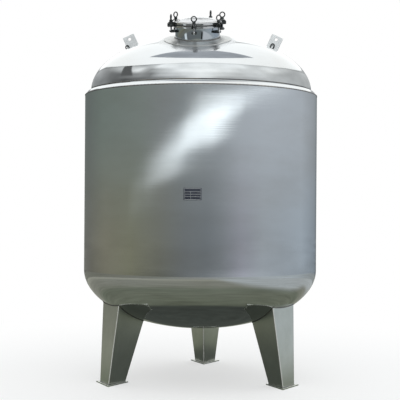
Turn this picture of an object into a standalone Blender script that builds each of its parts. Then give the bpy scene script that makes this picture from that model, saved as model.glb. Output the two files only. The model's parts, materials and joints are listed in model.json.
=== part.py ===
# A jacketed stainless storage tank: an inner vessel with dished ends inside a polished jacket,
# a bolted manway on its top head, two lifting lugs and three folded legs on triangular plates.
# Metres, +Z up. The origin is on the tank's axis at floor level and the manway faces -Y.

import math

import bmesh
import bpy
from mathutils import Matrix, Vector

# Gap that touching pieces keep
FIT_GAP = 0.0003

# Jacket: the outer shell, its lower head and the sloped ring that closes its top
JACKET_RADIUS = 1.000
JACKET_WALL = 0.003
SHELL_BOTTOM = 0.935
SHELL_TOP = 2.425
HEAD_RATIO = 0.5
CLOSING_RISE = 0.045
CLOSING_FOOT = 0.0045
CLOSING_LIP = 0.0042

# Inner vessel: shell, lower head and upper head
VESSEL_RADIUS = 0.949
VESSEL_WALL = 0.005
VESSEL_BOTTOM = 0.960
HEAD_SKIRT = 0.040
TOP_TANGENT = SHELL_TOP + CLOSING_RISE

# Manway: its centre on the upper head, its forward tilt, and heights along its own axis
MANWAY_OFFSET = 0.521
MANWAY_TILT = math.radians(17.0)
NECK_RADIUS = 0.182
NECK_WALL = 0.005
NECK_FOOT = -0.035
NECK_TOP = 0.1025
PAD_RADIUS = 0.277
PAD_THICKNESS = 0.005
# The cutters for the manway's hole and pad reach this far above and below the head.
CUTTER_REACH = 0.2
FLANGE_RADIUS = 0.196
FLANGE_DEPTH = 0.0175
GASKET_BORE = 0.170
GASKET_RADIUS = 0.1955
GASKET_THICKNESS = 0.0076
LID_RADIUS = 0.1985
LID_RIM_BORE = 0.166
LID_RIM_DEPTH = 0.0178
LID_DOME_RADIUS = 0.172
LID_DOME_RISE = 0.035
LID_WALL = 0.007

# Swing bolts: where they stand round the manway, from the front towards +X, and how far
# each eye nut is turned about its bolt from facing the front
BOLT_ANGLES = (-3.5, 54.5, 115.0, 153.5, 238.0, 288.0)
NUT_TURNS = (2.0, 38.0, 12.0, 82.0, 48.0, 86.0)
BOLT_CIRCLE = 0.220
PIVOT_HEIGHT = 0.054
SHANK_RADIUS = 0.008
# Keeps the shank's facets just inside the flat faces of its eye
SHANK_INSET = 0.00003
BOLT_EYE_RADIUS = 0.012
BOLT_EYE_WIDTH = 0.016
PIN_RADIUS = 0.005
PIN_BORE = PIN_RADIUS + FIT_GAP
PIN_HEAD = 0.003
EYE_RING_HEIGHT = 0.166
EYE_RING_RADIUS = 0.0205
EYE_WIRE_RADIUS = 0.0050
NUT_COLLAR_RADIUS = 0.014
NUT_COLLAR_DEPTH = 0.0125
NUT_SLACK = 0.002
THREAD_BORE = SHANK_RADIUS + FIT_GAP
THREAD_RUN_OUT = 0.010

# Forks on the lid's rim, which the bolts stand in, and the ears that carry each pivot
FORK_WIDTH = 0.036
FORK_SLOT = 0.019
FORK_DEPTH = 0.039
FORK_START = 0.1972
FORK_END = 0.247
FORK_CHAMFER = 0.014
SLOT_CUT_DEPTH = 3 * FORK_DEPTH
EAR_THICKNESS = 0.008
EAR_CLEARANCE = 0.0012
EAR_HEIGHT = 0.021
EAR_END = 0.0125

# Lifting lugs, and the bent rod loop that stands at the left of each, seen from the front
LUG_RADII = {"left": 0.586, "right": 0.606}
LUG_TILT = math.radians(25.0)
LUG_WIDTH = 0.104
LUG_THICKNESS = 0.012
LUG_HEIGHT = 0.130
LUG_ROOT = 0.040
LUG_HOLE_RADIUS = 0.014
LUG_HOLE_DROP = 0.031
LUG_CORNER = 0.006
LOOP_RADII = {"left": 0.628, "right": 0.602}
LOOP_FRONT = 0.034
LOOP_SPACING = 0.028
LOOP_HEIGHT = 0.055
LOOP_WIRE_RADIUS = 0.005
LOOP_ROOT = 0.030

# Legs: a three-sided folded section whose flat face looks outwards; radii and half widths
# at the floor and their change for each metre of height
LEG_ANGLES = (210.0, 330.0, 90.0)
LEG_NAMES = ("front_left", "front_right", "rear")
LEG_FACE_RADIUS = 0.881
LEG_FACE_SLOPE = -0.082
LEG_HALF_WIDTH = 0.0965
LEG_WIDTH_SLOPE = 0.122
LEG_EDGE_RADIUS = 0.690
# The inner edge leans so that both side faces are flat plate.
LEG_EDGE_SLOPE = (LEG_FACE_SLOPE
                  - LEG_WIDTH_SLOPE * (LEG_FACE_RADIUS - LEG_EDGE_RADIUS) / LEG_HALF_WIDTH)
LEG_WALL = 0.006
LEG_CUT_HEIGHT = 0.790
PLATE_SIDE = 0.272
PLATE_RADIUS = 0.821
PLATE_THICKNESS = 0.010

# Data plate on the front of the jacket
DATA_PLATE_WIDTH = 0.139
DATA_PLATE_HEIGHT = 0.096
DATA_PLATE_CENTRE = 1.575
DATA_PLATE_THICKNESS = 0.0015

# Facets
SHELL_SEGMENTS = 60
HEAD_SEGMENTS = 10
HIDDEN_SEGMENTS = 36
HIDDEN_HEAD_SEGMENTS = 6
MANWAY_SEGMENTS = 48
LID_ARC_SEGMENTS = 4
ROD_SEGMENTS = 12
RING_SEGMENTS = 16
WIRE_SEGMENTS = 6
LOOP_SEGMENTS = 10
CORNER_SEGMENTS = 3
PLATE_SEGMENTS = 6
MERGE = 0.00005


def clear_scene():
    for obj in list(bpy.data.objects):
        bpy.data.objects.remove(obj, do_unlink=True)


def new_collection(name):
    made = bpy.data.collections.new(name)
    bpy.context.scene.collection.children.link(made)
    return made


def new_material(name, colour, roughness, metallic):
    made = bpy.data.materials.new(name)
    made.use_nodes = True
    shader = made.node_tree.nodes["Principled BSDF"]
    shader.inputs["Base Color"].default_value = (*colour, 1.0)
    shader.inputs["Roughness"].default_value = roughness
    shader.inputs["Metallic"].default_value = metallic
    return made


clear_scene()
PARTS = new_collection("storage_tank")
CUTTERS = new_collection("cutters")

POLISHED = new_material("polished_steel", (0.72, 0.73, 0.74), 0.16, 1.0)
SATIN = new_material("satin_steel", (0.62, 0.63, 0.63), 0.30, 1.0)
BRIGHT = new_material("bright_steel", (0.66, 0.67, 0.68), 0.22, 1.0)
LEG = new_material("leg_steel", (0.60, 0.61, 0.60), 0.26, 1.0)
DARK = new_material("dark_steel", (0.24, 0.25, 0.25), 0.34, 1.0)
SEAL = new_material("black_seal", (0.03, 0.03, 0.03), 0.60, 0.0)
PLATE = new_material("dark_plate", (0.05, 0.06, 0.09), 0.35, 0.0)


# Objects

def add_object(name, mesh, material=None, smooth_angle=35.0):
    obj = bpy.data.objects.new(name, mesh)
    PARTS.objects.link(obj)
    if material and not mesh.materials:
        mesh.materials.append(material)
    if mesh.polygons:
        mesh.shade_smooth()
        mesh.set_sharp_from_angle(angle=math.radians(smooth_angle))
    return obj


def mesh_from(name, build):
    mesh = bpy.data.meshes.new(name)
    cage = bmesh.new()
    build(cage)
    bmesh.ops.recalc_face_normals(cage, faces=cage.faces)
    cage.to_mesh(mesh)
    cage.free()
    return mesh


def as_cutter(obj):
    for owner in list(obj.users_collection):
        owner.objects.unlink(obj)
    CUTTERS.objects.link(obj)
    obj.hide_render = True
    obj.display_type = "WIRE"
    return obj


def turned(name, profile, material, segments=SHELL_SEGMENTS, closed=False, angle=math.tau):
    # Points are (radius, height), down the outer side and back up the inner one.
    mesh = bpy.data.meshes.new(name)
    points = [(radius, 0.0, height) for radius, height in profile]
    edges = [(i, i + 1) for i in range(len(points) - 1)]
    if closed:
        edges.append((len(points) - 1, 0))
    mesh.from_pydata(points, edges, [])
    obj = add_object(name, mesh, material)
    screw = obj.modifiers.new("turn", "SCREW")
    screw.axis = "Z"
    screw.angle = angle
    screw.steps = segments
    screw.render_steps = segments
    screw.use_merge_vertices = angle == math.tau
    screw.merge_threshold = MERGE
    screw.use_smooth_shade = True
    return obj


def combine(obj, other, operation):
    joint = obj.modifiers.new(operation.lower(), "BOOLEAN")
    joint.operation = operation
    joint.solver = "EXACT"
    joint.object = other
    return obj


def baked_mesh(obj, name, operands=()):
    # The evaluated shape as a mesh of its own; the object and what it was built from go.
    bpy.context.view_layer.update()
    graph = bpy.context.evaluated_depsgraph_get()
    mesh = bpy.data.meshes.new_from_object(obj.evaluated_get(graph))
    mesh.name = name
    for used in (obj, *operands):
        bpy.data.objects.remove(used, do_unlink=True)
    return mesh


def welded_mesh_from_curve(curve_object, name):
    # A curve's tube and caps as one closed mesh, in world coordinates.
    bpy.context.view_layer.update()
    graph = bpy.context.evaluated_depsgraph_get()
    mesh = bpy.data.meshes.new_from_object(curve_object.evaluated_get(graph))
    mesh.transform(curve_object.matrix_world)
    mesh.name = name
    cage = bmesh.new()
    cage.from_mesh(mesh)
    bmesh.ops.remove_doubles(cage, verts=cage.verts, dist=MERGE)
    bmesh.ops.recalc_face_normals(cage, faces=cage.faces)
    cage.to_mesh(mesh)
    cage.free()
    bpy.data.objects.remove(curve_object, do_unlink=True)
    return mesh


def block(cage, size, centre):
    corners = bmesh.ops.create_cube(cage, size=1.0)["verts"]
    bmesh.ops.scale(cage, vec=size, verts=corners)
    bmesh.ops.translate(cage, vec=centre, verts=corners)
    return corners


def rod(cage, radius, start, end, segments=ROD_SEGMENTS):
    # A cylinder between two points.
    start, end = Vector(start), Vector(end)
    run = end - start
    turn = run.to_track_quat("Z", "Y").to_matrix().to_4x4()
    place = Matrix.Translation((start + end) / 2) @ turn
    bmesh.ops.create_cone(cage, cap_ends=True, segments=segments, radius1=radius,
                          radius2=radius, depth=run.length, matrix=place)


# Turned profiles

def ellipse_arc(radius, tangent, direction, offset=0.0, steps=HEAD_SEGMENTS):
    # Half an ellipse section from the axis to the rim, moved by offset along its normal.
    # direction is 1 for an upper head and -1 for a lower one.
    depth = radius * HEAD_RATIO
    points = []
    for step in range(steps + 1):
        turn = math.pi / 2 * (1 - step / steps)
        across, along = math.cos(turn), math.sin(turn)
        normal = Vector((across / radius, along / depth)).normalized()
        reach = radius * across + offset * normal.x
        height = depth * along + offset * normal.y
        points.append((reach if step else 0.0, tangent + direction * height))
    return points


def head_profile(radius, tangent, wall, direction, skirt=0.0, steps=HEAD_SEGMENTS):
    outer = ellipse_arc(radius, tangent, direction, steps=steps)
    inner = ellipse_arc(radius, tangent, direction, -wall, steps)
    if skirt:
        end = tangent - direction * skirt
        outer.append((radius, end))
        inner.append((radius - wall, end))
    if direction > 0:
        return outer + inner[::-1]
    return inner + outer[::-1]


def ring_profile(inner, outer, bottom, top):
    return [(outer, top), (outer, bottom), (inner, bottom), (inner, top)]


def head_solid(name, radius, tangent, direction, offset):
    # A solid with a head's own facets, a hair larger, for cutting what is welded on it.
    arc = ellipse_arc(radius, tangent, direction, offset)
    base = tangent - direction * HEAD_SKIRT
    if direction > 0:
        profile = arc + [(radius + offset, base), (0.0, base)]
    else:
        profile = [(0.0, base), (radius + offset, base)] + arc[::-1]
    return as_cutter(turned(name, profile, SATIN))


# Tank body

def build_jacket():
    shell = ring_profile(JACKET_RADIUS - JACKET_WALL, JACKET_RADIUS,
                         SHELL_BOTTOM + FIT_GAP, SHELL_TOP)
    turned("jacket_shell", shell, POLISHED, closed=True)
    bottom = head_profile(JACKET_RADIUS, SHELL_BOTTOM, JACKET_WALL, -1)
    turned("jacket_bottom_head", bottom, POLISHED)
    foot = SHELL_TOP + FIT_GAP
    inner = VESSEL_RADIUS + FIT_GAP
    closing = [(inner, TOP_TANGENT), (JACKET_RADIUS, foot),
               (JACKET_RADIUS - CLOSING_FOOT, foot), (inner, TOP_TANGENT - CLOSING_LIP)]
    turned("jacket_closing_ring", closing, POLISHED, closed=True)


def build_vessel():
    seam = TOP_TANGENT - HEAD_SKIRT
    shell = ring_profile(VESSEL_RADIUS - VESSEL_WALL, VESSEL_RADIUS,
                         VESSEL_BOTTOM + FIT_GAP, seam - FIT_GAP)
    turned("vessel_shell", shell, SATIN, HIDDEN_SEGMENTS, closed=True)
    bottom = head_profile(VESSEL_RADIUS, VESSEL_BOTTOM, VESSEL_WALL, -1, steps=HIDDEN_HEAD_SEGMENTS)
    turned("vessel_bottom_head", bottom, SATIN, HIDDEN_SEGMENTS)
    top = head_profile(VESSEL_RADIUS, TOP_TANGENT, VESSEL_WALL, 1, HEAD_SKIRT)
    head = turned("top_head", top, POLISHED)
    hole = mesh_from("manway_hole", lambda cage: rod(
        cage, NECK_RADIUS + FIT_GAP, (0, 0, -CUTTER_REACH), (0, 0, CUTTER_REACH),
        MANWAY_SEGMENTS))
    hole = as_cutter(add_object("manway_hole", hole, SATIN))
    hole.matrix_world = MANWAY
    combine(head, hole, "DIFFERENCE")


# Manway

def dome_height(reach):
    # Height of the upper head's outer surface at a distance from the tank's axis.
    return TOP_TANGENT + VESSEL_RADIUS * HEAD_RATIO * math.sqrt(1 - (reach / VESSEL_RADIUS) ** 2)


MANWAY = (Matrix.Translation((0.0, -MANWAY_OFFSET, dome_height(MANWAY_OFFSET)))
          @ Matrix.Rotation(MANWAY_TILT, 4, "X"))


def build_pad():
    upper = ellipse_arc(VESSEL_RADIUS, TOP_TANGENT, 1, FIT_GAP + PAD_THICKNESS)
    lower = ellipse_arc(VESSEL_RADIUS, TOP_TANGENT, 1, FIT_GAP)
    layer = turned("pad_layer", upper + lower[::-1], SATIN)
    collar = turned("pad_collar", ring_profile(NECK_RADIUS + FIT_GAP, PAD_RADIUS,
                                               -CUTTER_REACH, CUTTER_REACH),
                    SATIN, MANWAY_SEGMENTS, closed=True)
    collar.matrix_world = MANWAY
    combine(layer, collar, "INTERSECT")
    add_object("manway_pad", baked_mesh(layer, "manway_pad", [collar]), SATIN)


def lid_profile():
    top = NECK_TOP + GASKET_THICKNESS + 2 * FIT_GAP + LID_RIM_DEPTH

    def cap(radius, rise, base):
        sphere = (radius ** 2 + rise ** 2) / (2 * rise)
        full = math.asin(radius / sphere)
        turns = [full * step / LID_ARC_SEGMENTS for step in range(LID_ARC_SEGMENTS + 1)]
        return [(sphere * math.sin(turn), base + rise - sphere * (1 - math.cos(turn)))
                for turn in turns]

    outer = cap(LID_DOME_RADIUS, LID_DOME_RISE, top)
    inner = cap(LID_RIM_BORE, LID_DOME_RISE, top - LID_WALL)
    rim = [(LID_RADIUS, top), (LID_RADIUS, top - LID_RIM_DEPTH),
           (LID_RIM_BORE, top - LID_RIM_DEPTH)]
    return outer + rim + inner[::-1], top


def fork_outline(top):
    # Side view of a fork: (distance from the manway's axis, height), chamfered at the nut.
    return [(FORK_START, top - FORK_DEPTH), (FORK_END, top - FORK_DEPTH),
            (FORK_END, top - FORK_CHAMFER), (FORK_END - FORK_CHAMFER, top), (FORK_START, top)]


def add_forks(cage, top):
    for angle in BOLT_ANGLES:
        turn = Matrix.Rotation(math.radians(angle - 90.0), 4, "Z")
        outline = [cage.verts.new(turn @ Vector((reach, -FORK_WIDTH / 2, height)))
                   for reach, height in fork_outline(top)]
        side = cage.faces.new(outline)
        grown = bmesh.ops.extrude_face_region(cage, geom=[side])["geom"]
        moved = [item for item in grown if isinstance(item, bmesh.types.BMVert)]
        bmesh.ops.translate(cage, verts=moved, vec=turn @ Vector((0, FORK_WIDTH, 0)))


def add_slots(cage, top):
    # Each slot is a box open outwards with a round inner end.
    for angle in BOLT_ANGLES:
        turn = Matrix.Rotation(math.radians(angle - 90.0), 4, "Z")
        far = FORK_END + FORK_SLOT
        box = block(cage, (far - BOLT_CIRCLE, FORK_SLOT, SLOT_CUT_DEPTH),
                    ((far + BOLT_CIRCLE) / 2, 0, top - FORK_DEPTH))
        bmesh.ops.transform(cage, matrix=turn, verts=box)


def add_slot_ends(cage, top):
    for angle in BOLT_ANGLES:
        turn = Matrix.Rotation(math.radians(angle - 90.0), 4, "Z")
        centre = turn @ Vector((BOLT_CIRCLE, 0, top - FORK_DEPTH))
        rise = Vector((0, 0, SLOT_CUT_DEPTH / 2))
        rod(cage, FORK_SLOT / 2, centre - rise, centre + rise)


def build_manway(frame):
    neck = turned("manway_neck", ring_profile(NECK_RADIUS - NECK_WALL, NECK_RADIUS,
                                              NECK_FOOT, NECK_TOP),
                  SATIN, MANWAY_SEGMENTS, closed=True)
    flange = turned("manway_flange", ring_profile(NECK_RADIUS + FIT_GAP, FLANGE_RADIUS,
                                                  NECK_TOP - FLANGE_DEPTH, NECK_TOP),
                    BRIGHT, MANWAY_SEGMENTS, closed=True)
    seat = NECK_TOP + FIT_GAP
    gasket = turned("manway_gasket", ring_profile(GASKET_BORE, GASKET_RADIUS,
                                                  seat, seat + GASKET_THICKNESS),
                    SEAL, MANWAY_SEGMENTS, closed=True)
    profile, top = lid_profile()
    lid = turned("lid_blank", profile, BRIGHT, MANWAY_SEGMENTS)
    operands = []
    for name, build, operation in (("forks", add_forks, "UNION"), ("slots", add_slots, "DIFFERENCE"),
                                   ("slot_ends", add_slot_ends, "DIFFERENCE")):
        mesh = mesh_from(name, lambda cage, build=build: build(cage, top))
        operands.append(as_cutter(add_object(name, mesh, BRIGHT)))
        combine(lid, operands[-1], operation)
    lid = add_object("manway_lid", baked_mesh(lid, "manway_lid", operands), BRIGHT)
    for piece in (neck, flange, gasket, lid):
        piece.parent = frame
    return top


# Swing bolts; in their own frame X points away from the manway's axis, Y is the pivot's
# axis, and the origin is on that axis

def bracket_mesh():
    inside = BOLT_EYE_WIDTH / 2 + EAR_CLEARANCE
    start = math.sqrt(NECK_RADIUS ** 2 - inside ** 2) + FIT_GAP - BOLT_CIRCLE

    def ears(cage):
        for side in (-1, 1):
            middle = side * (inside + EAR_THICKNESS / 2)
            length = EAR_END - start
            block(cage, (length, EAR_THICKNESS, EAR_HEIGHT), (start + length / 2, middle, 0))

    outside = inside + EAR_THICKNESS + PIN_HEAD
    plates = add_object("ears", mesh_from("ears", ears), DARK)
    pin = add_object("pin", mesh_from("pin", lambda cage: rod(
        cage, PIN_RADIUS, (0, -outside, 0), (0, outside, 0))), DARK)
    combine(plates, as_cutter(pin), "UNION")
    return baked_mesh(plates, "bolt_bracket", [pin])


def bolt_mesh():
    half = BOLT_EYE_WIDTH / 2
    tip = EYE_RING_HEIGHT - EYE_RING_RADIUS - PIVOT_HEIGHT + EYE_WIRE_RADIUS / 2
    eye = add_object("eye", mesh_from("eye", lambda cage: rod(
        cage, BOLT_EYE_RADIUS, (0, -half, 0), (0, half, 0))), BRIGHT)
    shank = add_object("shank", mesh_from("shank", lambda cage: rod(
        cage, SHANK_RADIUS - SHANK_INSET, (0, 0, 0), (0, 0, tip))), BRIGHT)
    bore = add_object("bore", mesh_from("bore", lambda cage: rod(
        cage, PIN_BORE, (0, -BOLT_EYE_WIDTH, 0), (0, BOLT_EYE_WIDTH, 0))), BRIGHT)
    combine(eye, as_cutter(shank), "UNION")
    combine(eye, as_cutter(bore), "DIFFERENCE")
    return baked_mesh(eye, "swing_bolt", [shank, bore])


def nut_mesh(lid_top):
    foot = lid_top + NUT_SLACK - PIVOT_HEIGHT
    ring_height = EYE_RING_HEIGHT - PIVOT_HEIGHT
    bore_top = ring_height - EYE_RING_RADIUS + EYE_WIRE_RADIUS / 2 + FIT_GAP
    collar = add_object("collar", mesh_from("collar", lambda cage: rod(
        cage, NUT_COLLAR_RADIUS, (0, 0, foot), (0, 0, foot + NUT_COLLAR_DEPTH))), DARK)
    bpy.ops.mesh.primitive_torus_add(major_radius=EYE_RING_RADIUS, minor_radius=EYE_WIRE_RADIUS,
                                     major_segments=RING_SEGMENTS, minor_segments=WIRE_SEGMENTS)
    ring = bpy.context.object
    ring.matrix_world = (Matrix.Translation((0, 0, ring_height))
                         @ Matrix.Rotation(math.pi / 2, 4, "X"))
    bore = add_object("thread", mesh_from("thread", lambda cage: rod(
        cage, THREAD_BORE, (0, 0, foot - THREAD_RUN_OUT), (0, 0, bore_top))), DARK)
    combine(collar, as_cutter(ring), "UNION")
    combine(collar, as_cutter(bore), "DIFFERENCE")
    return baked_mesh(collar, "eye_nut", [ring, bore])


def build_swing_bolts(frame, lid_top):
    bracket, bolt, nut = bracket_mesh(), bolt_mesh(), nut_mesh(lid_top)
    for number, (angle, turn) in enumerate(zip(BOLT_ANGLES, NUT_TURNS), 1):
        place = (Matrix.Rotation(math.radians(angle - 90.0), 4, "Z")
                 @ Matrix.Translation((BOLT_CIRCLE, 0.0, PIVOT_HEIGHT)))
        # The nut's own turn is counted from the front, whatever side its bolt stands on.
        facing = Matrix.Rotation(math.radians(90.0 - angle + turn), 4, "Z")
        for name, mesh, matrix in ((f"bolt_bracket_{number}", bracket, place),
                                   (f"swing_bolt_{number}", bolt, place),
                                   (f"eye_nut_{number}", nut, place @ facing)):
            piece = add_object(name, mesh)
            piece.parent = frame
            piece.matrix_local = matrix


# Lifting lugs

def build_lugs(dome):
    for side, label in ((-1, "left"), (1, "right")):
        radius = LUG_RADII[label]
        foot = Vector((side * radius, 0.0, dome_height(radius)))
        frame = Matrix.Translation(foot) @ Matrix.Rotation(side * LUG_TILT, 4, "Y")
        height = LUG_HEIGHT + LUG_ROOT

        def plate(cage, height=height):
            block(cage, (LUG_WIDTH, LUG_THICKNESS, height), (0, 0, height / 2 - LUG_ROOT))
            upright = [edge for edge in cage.edges
                       if all(vert.co.z > 0 and abs(vert.co.x) > 0 for vert in edge.verts)
                       and abs(edge.verts[0].co.y - edge.verts[1].co.y) > LUG_THICKNESS / 2]
            bmesh.ops.bevel(cage, geom=upright, offset=LUG_CORNER, segments=CORNER_SEGMENTS,
                            affect="EDGES", profile=0.5)

        lug = add_object(f"lifting_lug_{label}", mesh_from(f"lifting_lug_{label}", plate), SATIN)
        lug.matrix_world = frame
        level = LUG_HEIGHT - LUG_HOLE_DROP
        hole = add_object(f"lug_hole_{label}", mesh_from("lug_hole", lambda cage: rod(
            cage, LUG_HOLE_RADIUS, (0, -LUG_THICKNESS, level), (0, LUG_THICKNESS, level),
            RING_SEGMENTS)), SATIN)
        as_cutter(hole).matrix_world = frame
        combine(lug, hole, "DIFFERENCE")
        combine(lug, dome, "DIFFERENCE")
        build_loop(side, label, dome)


def build_loop(side, label, dome):
    half = LOOP_SPACING / 2
    straight = LOOP_HEIGHT - LOOP_WIRE_RADIUS - half
    bend = [(half * math.cos(turn), 0.0, straight + half * math.sin(turn))
            for turn in (math.pi * step / LOOP_SEGMENTS for step in range(LOOP_SEGMENTS + 1))]
    points = [(half, 0.0, -LOOP_ROOT)] + bend + [(-half, 0.0, -LOOP_ROOT)]
    curve = bpy.data.curves.new("loop", "CURVE")
    curve.dimensions = "3D"
    curve.bevel_depth = LOOP_WIRE_RADIUS
    curve.bevel_resolution = 2
    curve.use_fill_caps = True
    spline = curve.splines.new("POLY")
    spline.points.add(len(points) - 1)
    for target, point in zip(spline.points, points):
        target.co = (*point, 1.0)
    wire = bpy.data.objects.new("loop", curve)
    PARTS.objects.link(wire)
    radius = LOOP_RADII[label]
    foot = Vector((side * radius, -LOOP_FRONT, dome_height(math.hypot(radius, LOOP_FRONT))))
    wire.matrix_world = Matrix.Translation(foot) @ Matrix.Rotation(side * LUG_TILT, 4, "Y")
    mesh = welded_mesh_from_curve(wire, f"rod_loop_{label}")
    loop = add_object(f"rod_loop_{label}", mesh, DARK)
    combine(loop, dome, "DIFFERENCE")


# Legs

def leg_section(height):
    # The section's three corners at a height, in a frame whose X points outwards.
    face = LEG_FACE_RADIUS + LEG_FACE_SLOPE * height
    half = LEG_HALF_WIDTH + LEG_WIDTH_SLOPE * height
    edge = LEG_EDGE_RADIUS + LEG_EDGE_SLOPE * height
    return [(face, -half, height), (face, half, height), (edge, 0.0, height)]


def build_legs(bowl):
    foot = PLATE_THICKNESS + FIT_GAP
    for name, angle in zip(LEG_NAMES, LEG_ANGLES):
        turn = Matrix.Rotation(math.radians(angle), 4, "Z")

        def tube(cage):
            lower = [cage.verts.new(point) for point in leg_section(foot)]
            upper = [cage.verts.new(point) for point in leg_section(LEG_CUT_HEIGHT)]
            for i in range(3):
                j = (i + 1) % 3
                cage.faces.new((lower[i], lower[j], upper[j], upper[i]))

        leg = add_object(f"leg_{name}", mesh_from(f"leg_{name}", tube), LEG)
        leg.matrix_world = turn
        wall = leg.modifiers.new("wall", "SOLIDIFY")
        wall.thickness = LEG_WALL
        wall.offset = -1.0
        wall.use_even_offset = True
        combine(leg, bowl, "DIFFERENCE")

        def plate(cage):
            # A three-sided prism; its first corner is turned to point at the tank's axis.
            spin = (Matrix.Translation((PLATE_RADIUS, 0, PLATE_THICKNESS / 2))
                    @ Matrix.Rotation(math.pi / 2, 4, "Z"))
            bmesh.ops.create_cone(cage, cap_ends=True, segments=3,
                                  radius1=PLATE_SIDE / math.sqrt(3),
                                  radius2=PLATE_SIDE / math.sqrt(3),
                                  depth=PLATE_THICKNESS, matrix=spin)

        base = add_object(f"base_plate_{name}", mesh_from(f"base_plate_{name}", plate), LEG)
        base.matrix_world = turn


def build_data_plate():
    inner = JACKET_RADIUS + FIT_GAP
    sweep = DATA_PLATE_WIDTH / inner
    top = DATA_PLATE_CENTRE + DATA_PLATE_HEIGHT / 2
    line = [(inner, top), (inner, top - DATA_PLATE_HEIGHT)]
    plate = turned("data_plate", line, PLATE, segments=PLATE_SEGMENTS, angle=sweep)
    plate.rotation_euler.z = -math.pi / 2 - sweep / 2
    sheet = plate.modifiers.new("sheet", "SOLIDIFY")
    sheet.thickness = DATA_PLATE_THICKNESS
    sheet.offset = 1.0


def main():
    frame = bpy.data.objects.new("manway_frame", None)
    PARTS.objects.link(frame)
    frame.matrix_world = MANWAY
    bpy.context.view_layer.update()
    build_jacket()
    build_vessel()
    build_pad()
    lid_top = build_manway(frame)
    build_swing_bolts(frame, lid_top)
    build_lugs(head_solid("dome_solid", VESSEL_RADIUS, TOP_TANGENT, 1, FIT_GAP))
    build_legs(head_solid("bowl_solid", JACKET_RADIUS, SHELL_BOTTOM, -1, FIT_GAP))
    build_data_plate()


main()
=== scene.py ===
import json
import math

import bmesh
import bpy
import numpy as np
from mathutils import Matrix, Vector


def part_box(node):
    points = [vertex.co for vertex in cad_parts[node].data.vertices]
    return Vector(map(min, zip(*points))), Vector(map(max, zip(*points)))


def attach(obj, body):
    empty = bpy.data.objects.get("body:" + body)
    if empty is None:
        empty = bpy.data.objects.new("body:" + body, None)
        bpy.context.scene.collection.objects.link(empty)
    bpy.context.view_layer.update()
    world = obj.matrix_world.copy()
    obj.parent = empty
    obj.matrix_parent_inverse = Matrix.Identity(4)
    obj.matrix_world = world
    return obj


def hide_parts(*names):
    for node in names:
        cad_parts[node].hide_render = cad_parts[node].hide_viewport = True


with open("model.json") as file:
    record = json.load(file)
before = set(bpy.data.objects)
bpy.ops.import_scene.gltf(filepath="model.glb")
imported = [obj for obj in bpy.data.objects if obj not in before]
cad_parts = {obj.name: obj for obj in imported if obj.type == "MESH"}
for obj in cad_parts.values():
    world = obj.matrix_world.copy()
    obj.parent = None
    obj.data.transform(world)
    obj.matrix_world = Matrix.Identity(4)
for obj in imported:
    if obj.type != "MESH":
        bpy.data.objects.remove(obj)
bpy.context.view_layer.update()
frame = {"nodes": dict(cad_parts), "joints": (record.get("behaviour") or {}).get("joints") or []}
circle = 2 * np.pi


# Meshes from grids of points

def gridFaces(points, wrapRows=False, wrapColumns=False):
    # Points lie on a grid of rows and columns, and each four neighbours make one face.
    rows, columns = points.shape[:2]
    row = np.arange(rows if wrapRows else rows - 1)[:, None]
    column = np.arange(columns if wrapColumns else columns - 1)[None, :]
    nextRow, nextColumn = (row + 1) % rows, (column + 1) % columns
    corners = [row * columns + column, row * columns + nextColumn,
               nextRow * columns + nextColumn, nextRow * columns + column]
    return points.reshape(-1, 3), np.stack(np.broadcast_arrays(*corners), -1).reshape(-1, 4)


def capped(points):
    # A closed end: the first and the last row are joined to a row gathered at their middle.
    def gathered(row):
        return np.broadcast_to(row.mean(0), row.shape)[None]
    return np.concatenate([gathered(points[0]), points, gathered(points[-1])])


def placed(points, matrix):
    # Points turned and moved by a 4 x 4 matrix.
    matrix = np.array(matrix)
    return points @ matrix[:3, :3].T + matrix[:3, 3]


def placedShells(shells, matrix):
    return [(placed(points, matrix), faces) for points, faces in shells]


def unit(vectors):
    # Each vector divided by its length.
    return vectors / np.linalg.norm(vectors, axis=-1)[..., None]


def wholeTurn(steps):
    # Angles at even steps round a circle.
    return np.linspace(0, circle, steps, endpoint=False)


def polar(radius, turn, height=None):
    # (radius cos turn, radius sin turn), and the height where one is given.
    flat = [radius * np.cos(turn), radius * np.sin(turn)]
    return np.stack(flat if height is None else flat + [height + 0 * turn], -1)


def upright(radius, turn, height):
    # A curve that stands in the XZ plane: (radius cos turn, 0, height + radius sin turn).
    return np.stack([radius * np.cos(turn), 0 * turn, height + radius * np.sin(turn)], -1)


def ringOutline(radius, steps):
    return polar(radius, wholeTurn(steps))


def raised(outline, height=0.0):
    # A flat outline (x, y) lifted to a height, or each point to its own.
    return np.concatenate([outline, np.broadcast_to(height, len(outline))[:, None]], 1)


def ringProfile(inner, outer, low, high):
    # Section of a plain ring, to be turned.
    return [(inner, low), (outer, low), (outer, high), (inner, high)]


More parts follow.
